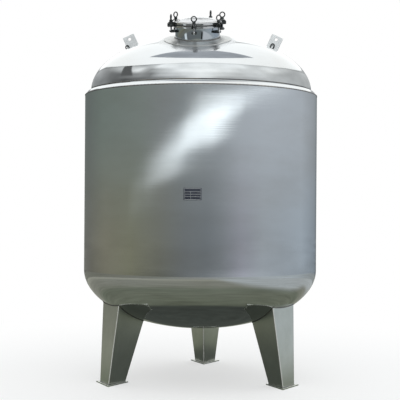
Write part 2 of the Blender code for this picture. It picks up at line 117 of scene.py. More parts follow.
def makeMesh(name, shells, marks=None):
    # Shells are (points, faces) pairs; doubles such as poles are merged and normals made to point
    # out. Marks give each point a number that a material can read as "fold".
    shift = np.cumsum([0] + [len(points) for points, faces in shells[:-1]])
    points = np.concatenate([points for points, faces in shells]).astype(np.float32)
    faces = np.concatenate([faces + start for start, (_, faces) in zip(shift, shells)])
    mesh = bpy.data.meshes.new(name)
    mesh.vertices.add(len(points))
    mesh.vertices.foreach_set("co", points.ravel())
    mesh.loops.add(faces.size)
    mesh.loops.foreach_set("vertex_index", faces.astype(np.int32).ravel())
    mesh.polygons.add(len(faces))
    mesh.polygons.foreach_set("loop_start", np.arange(0, faces.size, 4, dtype=np.int32))
    mesh.update(calc_edges=True)
    if marks is not None:
        mesh.attributes.new("fold", "FLOAT", "POINT").data.foreach_set(
            "value", marks.astype(np.float32).ravel())
    cage = bmesh.new()
    cage.from_mesh(mesh)
    bmesh.ops.remove_doubles(cage, verts=cage.verts, dist=mergeDistance)
    bmesh.ops.recalc_face_normals(cage, faces=cage.faces)
    cage.to_mesh(mesh)
    cage.free()
    mesh.shade_smooth()
    mesh.set_sharp_from_angle(angle=math.radians(sharpAngle))
    return mesh


def newObject(name, data):
    made = bpy.data.objects.new(name, data)
    bpy.context.scene.collection.objects.link(made)
    return made


def addPiece(name, shells, material, node=None, body="tank", marks=None):
    # One object at the origin, which rides its body and stands for the node it replaces.
    piece = newObject(name, makeMesh(name, shells, marks))
    piece.data.materials.append(material)
    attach(piece, body)
    if node:
        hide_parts(node)
    return piece


def bevelEdges(piece, width, segments=2, angle=40):
    # Every edge sharper than that angle is rounded by that width.
    bevel = piece.modifiers.new("easedEdges", "BEVEL")
    bevel.width = width
    bevel.segments = segments
    bevel.limit_method = "ANGLE"
    bevel.angle_limit = math.radians(angle)
    bevel.harden_normals = True


mergeDistance, sharpAngle = 0.00002, 35


# Surfaces

def turned(profile, steps):
    # Each profile point (radius, height) goes round the Z axis:
    # x = radius cos turn, y = radius sin turn, z = height.
    radius, height = np.array(profile, float).T
    return polar(radius, wholeTurn(steps)[:, None], height)


def turnedShell(profile, steps, matrix=Matrix.Identity(4), closed=True):
    # A profile turned about Z and then placed. One that isn't closed starts and ends on the axis.
    return gridFaces(placed(turned(profile, steps), matrix), True, closed)


def eased(outline, reach, steps=4, loop=True):
    # Each corner C of an outline becomes a short parabola between the points A and B that lie
    # reach away from it along its two sides: (1-t)^2 A + 2t(1-t) C + t^2 B.
    corner = np.array(outline, float)
    before, after = np.roll(corner, 1, 0) - corner, np.roll(corner, -1, 0) - corner
    reach = np.broadcast_to(np.array(reach, float), len(corner))[:, None].copy()
    if not loop:
        reach[0] = reach[-1] = 0
    first, last = corner + unit(before) * reach, corner + unit(after) * reach
    t = np.linspace(0, 1, steps + 1)[None, :, None]
    curve = ((1 - t) ** 2 * first[:, None] + 2 * t * (1 - t) * corner[:, None]
             + t ** 2 * last[:, None])
    return curve.reshape(-1, corner.shape[1])


def swept(path, outward, section, loop=False):
    # A section (across, along outward) is carried along a path. Its first axis is the path's
    # direction crossed with outward, and its second is outward itself.
    if loop:
        ahead = np.roll(path, -1, 0) - np.roll(path, 1, 0)
    else:
        ahead = np.gradient(path, axis=0)
    ahead = unit(ahead)
    outward = unit(outward - (outward * ahead).sum(1)[:, None] * ahead)
    across = np.cross(ahead, outward)
    section = np.broadcast_to(section, (len(path),) + np.array(section).shape[-2:])
    return (path[:, None] + across[:, None] * section[..., :1]
            + outward[:, None] * section[..., 1:])


def sweptFaces(points, loop):
    # A path that closes on itself needs no ends; any other gets both.
    return gridFaces(points if loop else capped(points), loop, True)


def tube(path, outward, radius, sides, loop=False):
    # A circle of that radius carried along the path.
    return sweptFaces(swept(path, outward, ringOutline(radius, sides), loop), loop)


def weldBead(kind, path, outward):
    # A round bead along a closed path, swelling and thinning as its ripples do:
    # size = 1 + depth cos(way / pitch).
    width, pitch = weld[kind]
    step = np.linalg.norm(np.diff(path, axis=0, append=path[:1]), axis=1)
    way = np.concatenate([[0], np.cumsum(step)[:-1]])
    ripples = max(1, round(step.sum() / pitch))
    swell = 1 + weld["rippleDepth"] * np.cos(circle * ripples * way / step.sum())
    section = ringOutline(width / 2, weld["sides"])
    return sweptFaces(swept(path, outward, section * swell[:, None, None], True), True)


# Each weld's width and the pitch of its ripples
weld = {"rippleDepth": 0.1, "sides": 8, "rim": (0.012, 0.012), "head": (0.007, 0.012),
        "neck": (0.008, 0.004), "lid": (0.006, 0.004), "lug": (0.007, 0.004),
        "loop": (0.004, 0.004), "legTop": (0.009, 0.005), "legFoot": (0.008, 0.005)}


def resampled(path, spacing):
    # The same closed path with points at even spacing, worked out by linear interpolation.
    ends = np.concatenate([path, path[:1]])
    way = np.concatenate([[0], np.cumsum(np.linalg.norm(np.diff(ends, axis=0), axis=1))])
    at = np.linspace(0, way[-1], max(8, int(way[-1] / spacing)), endpoint=False)
    return np.stack([np.interp(at, way, column) for column in ends.T], -1)


def slab(outline, low, high, edge, edgeSteps=3):
    # A flat plate in the XY plane: its outline shrinks towards both faces by a quarter round
    # of that edge radius, inset = edge (1 - sin t), height = edge (1 - cos t).
    t = np.linspace(0, np.pi / 2, edgeSteps + 1)
    inset = np.concatenate([edge * (1 - np.sin(t)), edge * (1 - np.sin(t[::-1]))])
    height = np.concatenate([low + edge * (1 - np.cos(t)), high - edge * (1 - np.cos(t[::-1]))])
    ahead = np.roll(outline, -1, 0) - np.roll(outline, 1, 0)
    inward = unit(np.stack([-ahead[:, 1], ahead[:, 0]], -1))
    flat = outline[None] + inward[None] * inset[:, None, None]
    rows = [raised(outline, level) for outline, level in zip(flat, height)]
    return gridFaces(capped(np.array(rows)), False, True)


def ripple(turn, height, seed, count=7):
    # A soft unevenness of rolled sheet: the mean of cosines whose waves close round the tank,
    # cos(m turn + q height + phase), long round the tank and shorter up it.
    draw = np.random.default_rng(seed)
    total = 0
    for _ in range(count):
        around = draw.integers(-4, 5)
        upward = circle / draw.uniform(0.22, 0.75)
        total = total + np.cos(around * turn + upward * height + draw.uniform(0, circle))
    return total / count


# Sizes read from the frame

shellHigh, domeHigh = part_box("jacket_shell")[1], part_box("top_head")[1]
bowlLow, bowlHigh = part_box("jacket_bottom_head")
ringLow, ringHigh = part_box("jacket_closing_ring")
jacketRadius, shellBottom, shellTop = shellHigh.x, bowlHigh.z, shellHigh.z
vesselRadius, topTangent = domeHigh.x, ringHigh.z
bowlDepth, domeDepth = bowlHigh.z - bowlLow.z, domeHigh.z - ringHigh.z

manway = {"offset": 0.521, "tilt": 17.0}


def domeHeight(x, y, lift=0.0):
    # The top head's outer face is half an ellipsoid: z = tangent + depth sqrt(1 - (r / radius)^2).
    share = 1 - (np.asarray(x) ** 2 + np.asarray(y) ** 2) / (vesselRadius + lift) ** 2
    return topTangent + (domeDepth + lift) * np.sqrt(np.clip(share, 0, 1))


def headNormal(points, radius, depth, level):
    # An ellipsoid's normal points along (x / a^2, y / a^2, z / c^2), with z from its own middle.
    return unit((points - [0, 0, level]) / [radius ** 2, radius ** 2, depth ** 2])


def domeNormal(points):
    return headNormal(points, vesselRadius, domeDepth, topTangent)


manwayPlace = (Matrix.Translation((0, -manway["offset"], float(domeHeight(0, -manway["offset"]))))
               @ Matrix.Rotation(math.radians(manway["tilt"]), 4, "X"))
manwayAxis = np.array(manwayPlace.to_3x3().col[2])


def onDome(outline, place, lift=0.0):
    # An outline (x, y) in a piece's own frame, dropped along that frame's Z onto the dome:
    # origin + s axis meets the ellipsoid where a quadratic in s is zero, at its upper root.
    origin = placed(raised(outline), place)
    axis = np.array(place.to_3x3().col[2])
    scale = 1 / np.array([vesselRadius + lift, vesselRadius + lift, domeDepth + lift])
    p, d = (origin - [0, 0, topTangent]) * scale, axis * scale
    a, b, c = (d * d).sum(), (p * d).sum(1), (p * p).sum(1) - 1
    s = (-b + np.sqrt(b * b - a * c)) / a
    return origin + s[:, None] * axis


# Shader maths

class Wire:
    # One output socket; each operator adds a Math node behind it.

    def __init__(self, tree, socket):
        self.tree, self.socket = tree, socket

    def __add__(self, other): return self.tree.maths("ADD", self, other)
    def __radd__(self, other): return self.tree.maths("ADD", other, self)
    def __sub__(self, other): return self.tree.maths("SUBTRACT", self, other)
    def __rsub__(self, other): return self.tree.maths("SUBTRACT", other, self)
    def __mul__(self, other): return self.tree.maths("MULTIPLY", self, other)
    def __rmul__(self, other): return self.tree.maths("MULTIPLY", other, self)
    def __truediv__(self, other): return self.tree.maths("DIVIDE", self, other)
    def __rtruediv__(self, other): return self.tree.maths("DIVIDE", other, self)
    def __pow__(self, other): return self.tree.maths("POWER", self, other)
    def __abs__(self): return self.tree.maths("ABSOLUTE", self)


class Tree:
    # A node tree that hands out wires.

    def __init__(self, nodeTree):
        self.nodeTree = nodeTree

    def node(self, kind, settings=None, values=None, output=0):
        # Settings come first, then each socket gets a value or a wire.
        made = self.nodeTree.nodes.new(kind)
        for name, value in (settings or {}).items():
            setattr(made, name, value)
        for key, value in (values or {}).items():
            self.fill(made.inputs[key], value)
        return Wire(self, made.outputs[output])

    def fill(self, socket, value):
        # A wire is linked and a value set; a colour's fourth number is one.
        if isinstance(value, Wire):
            self.nodeTree.links.new(value.socket, socket)
        else:
            socket.default_value = (*value, 1.0) if socket.type == "RGBA" else value

    def maths(self, operation, *values):
        return self.node("ShaderNodeMath", {"operation": operation}, dict(enumerate(values)))

    def ramp(self, value, stops):
        # Straight lines between stops, each a place from 0 to 1 and a colour or a grey.
        made = self.node("ShaderNodeValToRGB", None, {0: value})
        elements = made.socket.node.color_ramp.elements
        made.socket.node.color_ramp.interpolation = "LINEAR"
        while len(elements) < len(stops):
            elements.new(1.0)
        for element, (position, colour) in zip(elements, stops):
            element.position = position
            element.color = (*colour, 1.0) if isinstance(colour, tuple) else (colour,) * 3 + (1.0,)
        return made

    def step(self, value, start, end, low=0.0, high=1.0):
        return self.node("ShaderNodeMapRange", {"interpolation_type": "SMOOTHSTEP"},
                         {"Value": value, "From Min": start, "From Max": end,
                          "To Min": low, "To Max": high})

    def within(self, value, low, high, soft):
        # One between low and high, falling to zero over the soft distance outside them.
        return self.step(value, low - soft, low) * self.step(value, high + soft, high)

    def noise(self, vector, scale, detail, roughness):
        return self.node("ShaderNodeTexNoise", None,
                         {"Vector": vector, "Scale": scale, "Detail": detail,
                          "Roughness": roughness})

    def blend(self, share, low, high, kind="MIX"):
        return self.node("ShaderNodeMix", {"data_type": "RGBA", "blend_type": kind},
                         {0: share, 6: low, 7: high}, output=2)

    def plus(self, colour, other):
        return self.blend(1.0, colour, other, "ADD")

    def scaled(self, colour, value):
        # A colour made darker or lighter by a number.
        grey = self.node("ShaderNodeCombineColor", None, {0: value, 1: value, 2: value})
        return self.blend(1.0, colour, grey, "MULTIPLY")

    def split(self, vector):
        x = self.node("ShaderNodeSeparateXYZ", None, {0: vector})
        return [Wire(self, socket) for socket in x.socket.node.outputs]

    def streaks(self, wires, scales, scale=1.0, detail=3.0, roughness=0.6):
        # Noise drawn out along the wires whose scale is small.
        place = self.node("ShaderNodeCombineXYZ", None,
                          {i: wire * scales[i] for i, wire in enumerate(wires)})
        return self.noise(place, scale, detail, roughness)


def newMaterial(name, build, metallic=1.0):
    # build(tree, place) returns what varies: a dictionary of Principled sockets and wires.
    material = bpy.data.materials.new(name)
    material.use_nodes = True
    tree = Tree(material.node_tree)
    shader = material.node_tree.nodes["Principled BSDF"]
    place = tree.node("ShaderNodeTexCoord", output=3)
    for key, value in {"Metallic": metallic, **build(tree, place)}.items():
        tree.fill(shader.inputs[key], value)
    return material


def bumped(tree, height, distance):
    return tree.node("ShaderNodeBump", None, {"Height": height, "Distance": distance})


# Materials

polish = {"base": (0.66, 0.68, 0.69), "stain": (0.6, 0.61, 0.605), "roughness": 0.046,
          "lines": ((1.2, 260, 260), 1, 4, 0.65), "patches": ((0.8, 2, 2), 1.6, 4, 0.55),
          "dull": (0.35, 0.75), "uneven": 0.02, "bump": 0.00004, "ground": (0.345, 0.285, 0, 0.26)}
brushed = {"lines": (30, 8, 700), "patches": (9, 4, 0.6), "edges": (0.3, 0.75), "level": 0.55,
           "byLines": 0.6, "byPatches": 0.3, "bump": 0.0003}


def roundTank(tree, place):
    # Turn round the tank, distance from its axis and height, from Object coordinates.
    x, y, z = tree.split(place)
    return tree.maths("ARCTAN2", y, x), (x * x + y * y) ** 0.5, z


def polishedSheet(tree, place):
    # Fine lines run round the tank, with soft patches of duller polish.
    wires, uneven = roundTank(tree, place), polish["uneven"]
    lines, patches = tree.streaks(wires, *polish["lines"]), tree.streaks(wires, *polish["patches"])
    dull = tree.step(patches, *polish["dull"])
    return {
        "Base Color": tree.blend(dull, polish["base"], polish["stain"]),
        "Roughness": polish["roughness"] + dull * uneven + (lines - 0.5) * uneven,
        "Normal": bumped(tree, lines, polish["bump"]),
    }


def polishedHead(tree, place):
    # The same sheet, duller round the manway, where it was welded and ground.
    x, y, z = tree.split(place)
    away = (x * x + (y + manway["offset"]) * (y + manway["offset"])) ** 0.5
    made = polishedSheet(tree, place)
    made["Roughness"] = made["Roughness"] + tree.step(away, *polish["ground"])
    return made


def satinSheet(fresh, worn, roughness):
    # Lines run round the tank, between a fresh and a worn colour.
    def build(tree, place):
        lines = tree.streaks(roundTank(tree, place), brushed["lines"])
        patches = tree.noise(place, *brushed["patches"])
        share = tree.step(patches, *brushed["edges"])
        uneven = brushed["level"] + lines * brushed["byLines"] + patches * brushed["byPatches"]
        return {
            "Base Color": tree.blend(share, fresh, worn),
            "Roughness": uneven * roughness,
            "Normal": bumped(tree, lines, brushed["bump"] * roughness),
        }
    return build


def grained(low, high, grain, patches, edges, level, parts, bump):
    # A fine grain over soft patches that go from a low colour to a high one; without patches, the
    # grain does. Roughness = level + parts of the grain, the patches' noise and the patches.
    def build(tree, place):
        fine = tree.noise(place, *grain)
        soft = tree.noise(place, *patches) if patches else fine
        share = tree.step(soft, *edges) if patches else fine
        return {
            "Base Color": tree.blend(share, low, high),
            "Roughness": sum((wire * part for wire, part in zip((fine, soft, share), parts)
                              if part), level),
            "Normal": bumped(tree, fine, bump),
        }
    return build


# The colour and the lower metal at the folds paint a bright highlight line along them.
folded = {"lines": (420, 420, 6), "patches": (3.5, 4, 0.6), "edges": (0.3, 0.75),
          "fresh": (0.74, 0.76, 0.7), "worn": (0.62, 0.64, 0.58), "foldHighlight": (0.66, 0.66, 0.63),
          "fold": (0.2, 0.9), "level": 0.24, "byLines": 0.12, "byPatches": 0.08, "bump": 0.00006,
          "highlightMatte": 0.75}


def legPlate(tree, place):
    # Brushed up and down, with a painted highlight along the folds: there the steel turns mostly
    # non-metallic, a grey that lights up as a bright line.
    lines = tree.streaks(tree.split(place), folded["lines"])
    patches = tree.noise(place, *folded["patches"])
    fold = tree.node("ShaderNodeAttribute", {"attribute_name": "fold"}, output=2)
    foldHighlight = tree.step(fold, *folded["fold"])
    sheet = tree.blend(tree.step(patches, *folded["edges"]), folded["fresh"],
                       folded["worn"])
    return {
        "Base Color": tree.blend(foldHighlight, sheet, folded["foldHighlight"]),
        "Metallic": 1.0 - foldHighlight * folded["highlightMatte"],
        "Roughness": folded["level"] + lines * folded["byLines"] + patches * folded["byPatches"],
        "Normal": bumped(tree, lines, folded["bump"]),
    }


polished = newMaterial("polishedSteel", polishedSheet)
headSteel = newMaterial("headSteel", polishedHead)
satin = newMaterial("satinSteel", satinSheet((0.6, 0.61, 0.61), (0.5, 0.51, 0.51), 0.18))
padSteel = newMaterial("padSteel", satinSheet((0.66, 0.67, 0.66), (0.56, 0.57, 0.56), 0.42))
neckSteel = newMaterial("neckSteel", satinSheet((0.52, 0.56, 0.6), (0.48, 0.52, 0.56), 0.07))
# A lighter copy of the satin steel for the lifting lugs: painted light, standing in for the light
# their flat faces catch.
lugSteel = newMaterial("lugSteel", satinSheet((0.82, 0.83, 0.83), (0.7, 0.71, 0.71), 0.28))
legSteel = newMaterial("legSteel", legPlate)
bright = newMaterial("brightSteel", grained(
    (0.63, 0.64, 0.65), (0.54, 0.55, 0.56), (900, 2, 0.6), (25, 3, 0.5), (0.3, 0.7), 0.1,
    (0.08, 0.04, 0), 0.00003))
# Near-black steel for the forks, brackets, ring nuts and rod loops: painted reflection, its dark
# colour standing in for the dark surroundings these small steel parts reflect.
darkSteel = newMaterial("darkSteel", grained(
    (0.055, 0.06, 0.06), (0.24, 0.25, 0.25), (600, 3, 0.6), (40, 3, 0.5), (0.5, 0.72), 0.33,
    (0.1, 0, -0.12), 0.00008))
weldSteel = newMaterial("weldSteel", grained(
    (0.2, 0.2, 0.21), (0.3, 0.28, 0.25), (420, 3, 0.6), (14, 2, 0.5), (0.35, 0.7), 0.34,
    (0.12, 0, 0), 0.0001))
rubber = newMaterial("blackSeal", grained(
    (0.006, 0.006, 0.007), (0.014, 0.014, 0.015), (300, 3, 0.6), None, None, 0.55,
    (0.2, 0, 0), 0.0001), 0.0)
enamel = newMaterial("darkEnamel", grained(
    (0.012, 0.016, 0.03), (0.03, 0.036, 0.055), (500, 3, 0.5), None, None, 0.3,
    (0.15, 0, 0), 0.00003), 0.0)
print("materials ready")


def addWeld(name, slot, *beads):
    addPiece(name, [weldBead(*bead) for bead in beads], weldSteel)


# Tank body

jacket = {"wall": 0.003, "edge": 0.0029, "columns": 320, "rows": 72, "innerRows": 12,
          "swell": 0.00025, "fade": 0.1, "seed": 11}


def buildJacket():
    # Outer face up, rounded rim, inner face down; every point then moves outwards by the swell.
    radius, inner = jacketRadius, jacketRadius - jacket["wall"]
    edge, fade = jacket["edge"], jacket["fade"]
    rim = eased([(radius, shellTop - edge * 2), (radius, shellTop), (inner, shellTop),
                 (inner, shellTop - edge * 2)], edge / 2, 3, loop=False)
    profile = np.concatenate([
        np.linspace((radius, shellBottom), (radius, shellTop - edge * 2), jacket["rows"]), rim,
        np.linspace((inner, shellTop - edge * 3), (inner, shellBottom), jacket["innerRows"])])
    points = turned(profile, jacket["columns"])
    turn, height = np.arctan2(points[..., 1], points[..., 0]), points[..., 2]
    fade = np.clip((height - shellBottom) / fade, 0, 1) * np.clip((shellTop - height) / fade, 0, 1)
    swell = 1 + jacket["swell"] * (ripple(turn, height, jacket["seed"]) - 0.5) * fade / radius
    points[..., :2] *= swell[..., None]
    addPiece("jacket_skin", [gridFaces(points, True, True)], polished,
             "jacket_shell")


head = {"columns": 320, "rows": 40, "bowlWall": 0.003, "domeWall": 0.005, "skirt": 0.04}


def headRows(radius, depth, tangent, way, offset, rows=head["rows"]):
    # Half an ellipse from the axis to the rim, moved along its own normal by offset.
    turn = np.linspace(np.pi / 2, 0, rows)
    x, z = radius * np.cos(turn), depth * np.sin(turn)
    normal = unit(np.stack([np.cos(turn) / radius, np.sin(turn) / depth], -1))
    points = np.stack([x, z], -1) + offset * normal
    points[0, 0] = 0
    return points * [1, way] + [0, tangent]


def headShell(radius, depth, tangent, way, wall, skirt=0.0):
    # The ellipsoid's outer face out to the rim, a straight skirt, and the inner face back.
    outer, inner = [headRows(radius, depth, tangent, way, offset) for offset in (0, -wall)]
    foot = [(radius, tangent - skirt), (radius - wall, tangent - skirt)] if skirt else inner[:0]
    profile = np.concatenate([outer, foot, inner[::-1]])
    return turnedShell(profile, head["columns"], closed=False)


def buildBottomHead():
    shell = headShell(jacketRadius, bowlDepth, shellBottom, -1, head["bowlWall"])
    addPiece("bottom_head_skin", [shell], polished, "jacket_bottom_head")


def cutAway(piece, shell):
    # A hidden cutter takes its shape out of the piece, and the result stays as its mesh.
    cutter = newObject("cutter", makeMesh("cutter", [shell]))
    cut = piece.modifiers.new("cut", "BOOLEAN")
    cut.object = cutter
    cut.solver = "EXACT"
    bpy.context.view_layer.update()
    mesh = bpy.data.meshes.new_from_object(
        piece.evaluated_get(bpy.context.evaluated_depsgraph_get()))
    old = piece.data
    piece.modifiers.clear()
    piece.data = mesh
    bpy.data.meshes.remove(old)
    bpy.data.objects.remove(cutter)


def buildTopHead():
    # The same the other way up, with a skirt and the manway's hole.
    shell = headShell(vesselRadius, domeDepth, topTangent, 1, head["domeWall"], head["skirt"])
    piece = addPiece("top_head_skin", [shell], headSteel, "top_head")
    hole = ringProfile(0, neck["radius"] + gap, -neck["cut"], neck["cut"])
    cutAway(piece, turnedShell(hole, neck["columns"], manwayPlace, False))
    piece.data.set_sharp_from_angle(angle=math.radians(sharpAngle))


closing = {"bend": (0.977, 0.03), "wall": 0.0045, "lean": 0.002,
           "edges": (0.0012, 0.006, 0.0006, 0.001, 0.003, 0.001)}


def buildClosingRing():
    # A narrow two-slope band from the jacket's rim up to the top head.
    foot, top = (jacketRadius, ringLow.z), (vesselRadius + gap, topTangent)
    bend = (closing["bend"][0], ringLow.z + closing["bend"][1])
    wall = closing["wall"]
    profile = eased([foot, bend, top, (top[0], top[1] - wall),
                     (bend[0] - closing["lean"], bend[1] - wall), (foot[0] - wall, foot[1])],
                    closing["edges"])
    addPiece("closing_ring_skin", [turnedShell(profile, head["columns"])], polished,
             "jacket_closing_ring")


seams = {"steps": 720, "rimInset": 0.004, "headOut": 0.0015, "headUp": 0.001}


def ringPath(radius, height, steps):
    # A level circle, and the outward direction at each of its points.
    turn = wholeTurn(steps)
    return polar(radius, turn, height), polar(1, turn, 0)


def buildBodySeams():
    # Weld lines: jacket rim to closing ring, and ring to top head.
    path, outward = ringPath(jacketRadius - seams["rimInset"], shellTop, seams["steps"])
    addWeld("rim_weld", "polished_steel", ("rim", path, outward))
    path, outward = ringPath(vesselRadius + seams["headOut"], topTangent + seams["headUp"],
                             seams["steps"])
    addWeld("head_weld", "polished_steel", ("head", path, outward + [0, 0, 1]))


# Manway

neck = {"radius": 0.182, "wall": 0.005, "foot": -0.035, "top": 0.1025, "columns": 160,
        "cut": 0.2, "edge": 0.0008, "weldOut": 0.002, "weldUp": 0.0015, "weldLean": 0.2,
        "weldSteps": 1400}
flange = {"radius": 0.196, "depth": 0.0175, "edge": 0.0016}
gasket = {"bore": 0.17, "radius": 0.1955, "thickness": 0.0076, "bulge": 0.0006, "edge": 0.0006}
lid = {"radius": 0.1985, "rimBore": 0.166, "rimDepth": 0.0178, "domeRadius": 0.172,
       "domeRise": 0.035, "wall": 0.007, "edge": 0.002, "seamLean": 0.15,
       "seamSteps": 900}
pad = {"radius": 0.277, "thickness": 0.005, "edge": 0.0018}
gap = 0.0003
gasketLow = neck["top"] + gap
lidLow = gasketLow + gasket["thickness"] + gap
lidTop = lidLow + lid["rimDepth"]


def addTurned(name, profile, material, node, closed=True):
    # A part of the manway, turned about its axis.
    addPiece(name, [turnedShell(profile, neck["columns"], manwayPlace, closed)], material,
             node)


def buildNeck():
    # A turned pipe, and the weld where it meets the pad.
    outline = ringProfile(neck["radius"] - neck["wall"], neck["radius"], neck["foot"], neck["top"])
    addTurned("neck_skin", eased(outline, neck["edge"], 2), neckSteel, "manway_neck")
    ring = ringOutline(neck["radius"] + neck["weldOut"], neck["weldSteps"])
    path = onDome(ring, manwayPlace, pad["thickness"]) + neck["weldUp"] * manwayAxis
    outward = path - placed(np.zeros((1, 3)), manwayPlace) + neck["weldLean"] * manwayAxis
    addWeld("neck_weld", "satin_steel", ("neck", path, outward))


def buildPad():
    # A ring plate laid on the dome: u goes round it, and v runs from its bore over the top to
    # its rim and back underneath.
    bore, rim, edge = neck["radius"] + gap, pad["radius"], pad["edge"]
    t = np.linspace(0, np.pi / 2, 4)[1:]
    across = np.concatenate([np.linspace(bore, rim - edge, 10), rim - edge + edge * np.sin(t),
                             [rim], np.linspace(rim, bore, 8)])
    lift = np.concatenate([np.full(10, pad["thickness"]),
                           pad["thickness"] - edge + edge * np.cos(t), np.full(9, gap)])
    rows = [onDome(ringOutline(radius, 200), manwayPlace, height + gap)
            for radius, height in zip(across, lift)]
    addPiece("pad_skin", [gridFaces(np.array(rows), True, True)], padSteel,
             "manway_pad")


def buildFlange():
    # Two turned rings: the flange round the neck's top, and the gasket that lies on it.
    outline = ringProfile(neck["radius"] + gap, flange["radius"], neck["top"] - flange["depth"],
                          neck["top"])
    addTurned("flange_skin", eased(outline, flange["edge"], 3), bright,
              "manway_flange")
    low, high = gasketLow, gasketLow + gasket["thickness"]
    outline = ringProfile(gasket["bore"], gasket["radius"], low, high)
    outline.insert(2, (gasket["radius"] + gasket["bulge"], (low + high) / 2))
    addTurned("gasket_skin", eased(outline, gasket["edge"], 2), rubber,
              "manway_gasket")


def capRows(radius, rise, base, rows):
    # A spherical cap: its sphere has radius (r^2 + rise^2) / (2 rise).
    sphere = (radius ** 2 + rise ** 2) / (2 * rise)
    turn = np.linspace(0, math.asin(radius / sphere), rows)
    return np.stack([sphere * np.sin(turn), base + rise - sphere * (1 - np.cos(turn))], -1)


def buildLid():
    # A turned shell: the cap, the flat rim with its eased edges, and the cap's inner face.
    outer = capRows(lid["domeRadius"], lid["domeRise"], lidTop, 20)
    rim = eased([outer[-1], (lid["radius"], lidTop), (lid["radius"], lidLow),
                 (lid["rimBore"], lidLow), (lid["rimBore"], lidTop - lid["wall"])],
                lid["edge"], 4, loop=False)
    inner = capRows(lid["rimBore"], lid["domeRise"], lidTop - lid["wall"], 16)[::-1]
    addTurned("lid_skin", np.concatenate([outer[:-1], rim, inner[1:]]), bright,
              "manway_lid", False)
    # A weld bead where the cap meets the rim: a seam, whose dark colour also paints the shade line
    # along the cap's edge.
    ring = ringOutline(lid["domeRadius"], lid["seamSteps"])
    path = placed(raised(ring, lidTop), manwayPlace)
    outward = path - placed(np.array([[0, 0, lidTop]]), manwayPlace) + lid["seamLean"] * manwayAxis
    addWeld("lid_seam_shade_line", "bright_steel", ("lid", path, outward))


# Clamps round the lid; each stands in its joint's own frame, X outwards and Z along the manway

clamp = {"circle": 0.22, "pivotHeight": 0.054, "eyeRadius": 0.012, "eyeWidth": 0.016,
         "pinRadius": 0.005, "shankRadius": 0.008, "threadPitch": 0.002, "threadDepth": 0.0011,
         "shankStart": 0.0096, "shankEnd": 0.0025, "eyeEdge": 0.001}
fork = {"width": 0.036, "slot": 0.019, "depth": 0.039, "start": 0.1972, "end": 0.247,
        "chamfer": 0.014, "edge": 0.0012, "steps": 12}
ears = {"clearance": 0.0012, "thickness": 0.008, "height": 0.021, "root": -0.036, "round": 0.002,
        "edge": 0.001, "pinHead": 0.003, "headDepth": 0.0027, "headRadius": 0.0075,
        "pinEdge": 0.0006}
nut = {"collarRadius": 0.014, "collarDepth": 0.0125, "slack": 0.002, "ringHeight": 0.166,
       "ringRadius": 0.0205, "wire": 0.005, "neckFoot": (0.0105, 0.001),
       "neckTop": (0.0095, 0.002), "edges": (0.0006, 0.0015, 0.002, 0.002, 0.001, 0.0002),
       "turns": (2.0, 38.0, 12.0, 82.0, 48.0, 86.0)}


def jointPlace(joint):
    # A joint's frame: Y along its axis, Z along the manway, X outwards.
    y = np.array(joint["axis"])
    z = manwayAxis
    x = np.cross(y, z)
    return Matrix([[x[i], y[i], z[i], joint["pos_m"][i]] for i in range(3)] + [[0, 0, 0, 1]])


places = [jointPlace(joint) for joint in frame["joints"]]


def plateAcross(outline, half, edge, centre=0.0):
    # A plate whose outline lies in a frame's XZ plane and whose thickness runs along Y.
    points, faces = slab(outline, centre - half, centre + half, edge)
    return points[:, [0, 2, 1]], faces


def arcPoints(centre, radius, start, end, steps):
    # Points at even turns, centre + radius (cos turn, sin turn), between two angles in degrees.
    turn = np.radians(np.linspace(start, end, steps))
    return polar(radius, turn) + centre


def buildForks():
    # Each fork is a bent bar: it runs out along one side of the slot and back along the other.
    # Its section goes round four corners, and its outer top corner drops towards the tips.
    top = lidTop - clamp["pivotHeight"]
    inner, outer = fork["slot"] / 2, fork["width"] / 2
    start, end = fork["start"] - clamp["circle"], fork["end"] - clamp["circle"]
    slotEdge = np.concatenate([np.linspace((end, -inner), (0, -inner), fork["steps"]),
                               arcPoints((0, 0), inner, 270, 90, 17)[1:-1],
                               np.linspace((0, inner), (end, inner), fork["steps"])])
    outEdge = np.concatenate([np.linspace((end, -outer), (start, -outer), fork["steps"] + 4),
                              np.linspace((start, -outer), (start, outer), 9)[1:-1],
                              np.linspace((start, outer), (end, outer), fork["steps"] + 4)])
    drop = fork["chamfer"]

    def heightAt(x):
        return top - np.clip(x - (end - drop), 0, drop)

    rows = np.stack([raised(slotEdge, top - fork["depth"]), raised(outEdge, top - fork["depth"]),
                     raised(outEdge, heightAt(outEdge[:, 0])),
                     raised(slotEdge, heightAt(slotEdge[:, 0]))], 1)
    shells = [gridFaces(placed(capped(rows), place), False, True) for place in places]
    bevelEdges(addPiece("lid_forks", shells, darkSteel), fork["edge"])


def threaded(low, high, radius, pitch, depth, perTurn=20, rowsPerPitch=4):
    # A screw thread: radius - depth |saw(height / pitch - turn)|, fading at both ends.
    rows = int((high - low) / pitch * rowsPerPitch)
    height = np.linspace(low, high, rows)[:, None]
    turn = wholeTurn(perTurn)[None]
    saw = abs(((height / pitch - turn / circle) % 1) * 2 - 1)
    fade = np.clip((height - low) / pitch, 0, 1) * np.clip((high - height) / pitch, 0, 1)
    return polar(radius - depth * saw * fade, turn, height)


def aboutPivot(shell):
    # A shape turned about Z is laid over so that its axis is Y.
    return shell[0][..., [0, 2, 1]] * [1, 1, -1], shell[1]


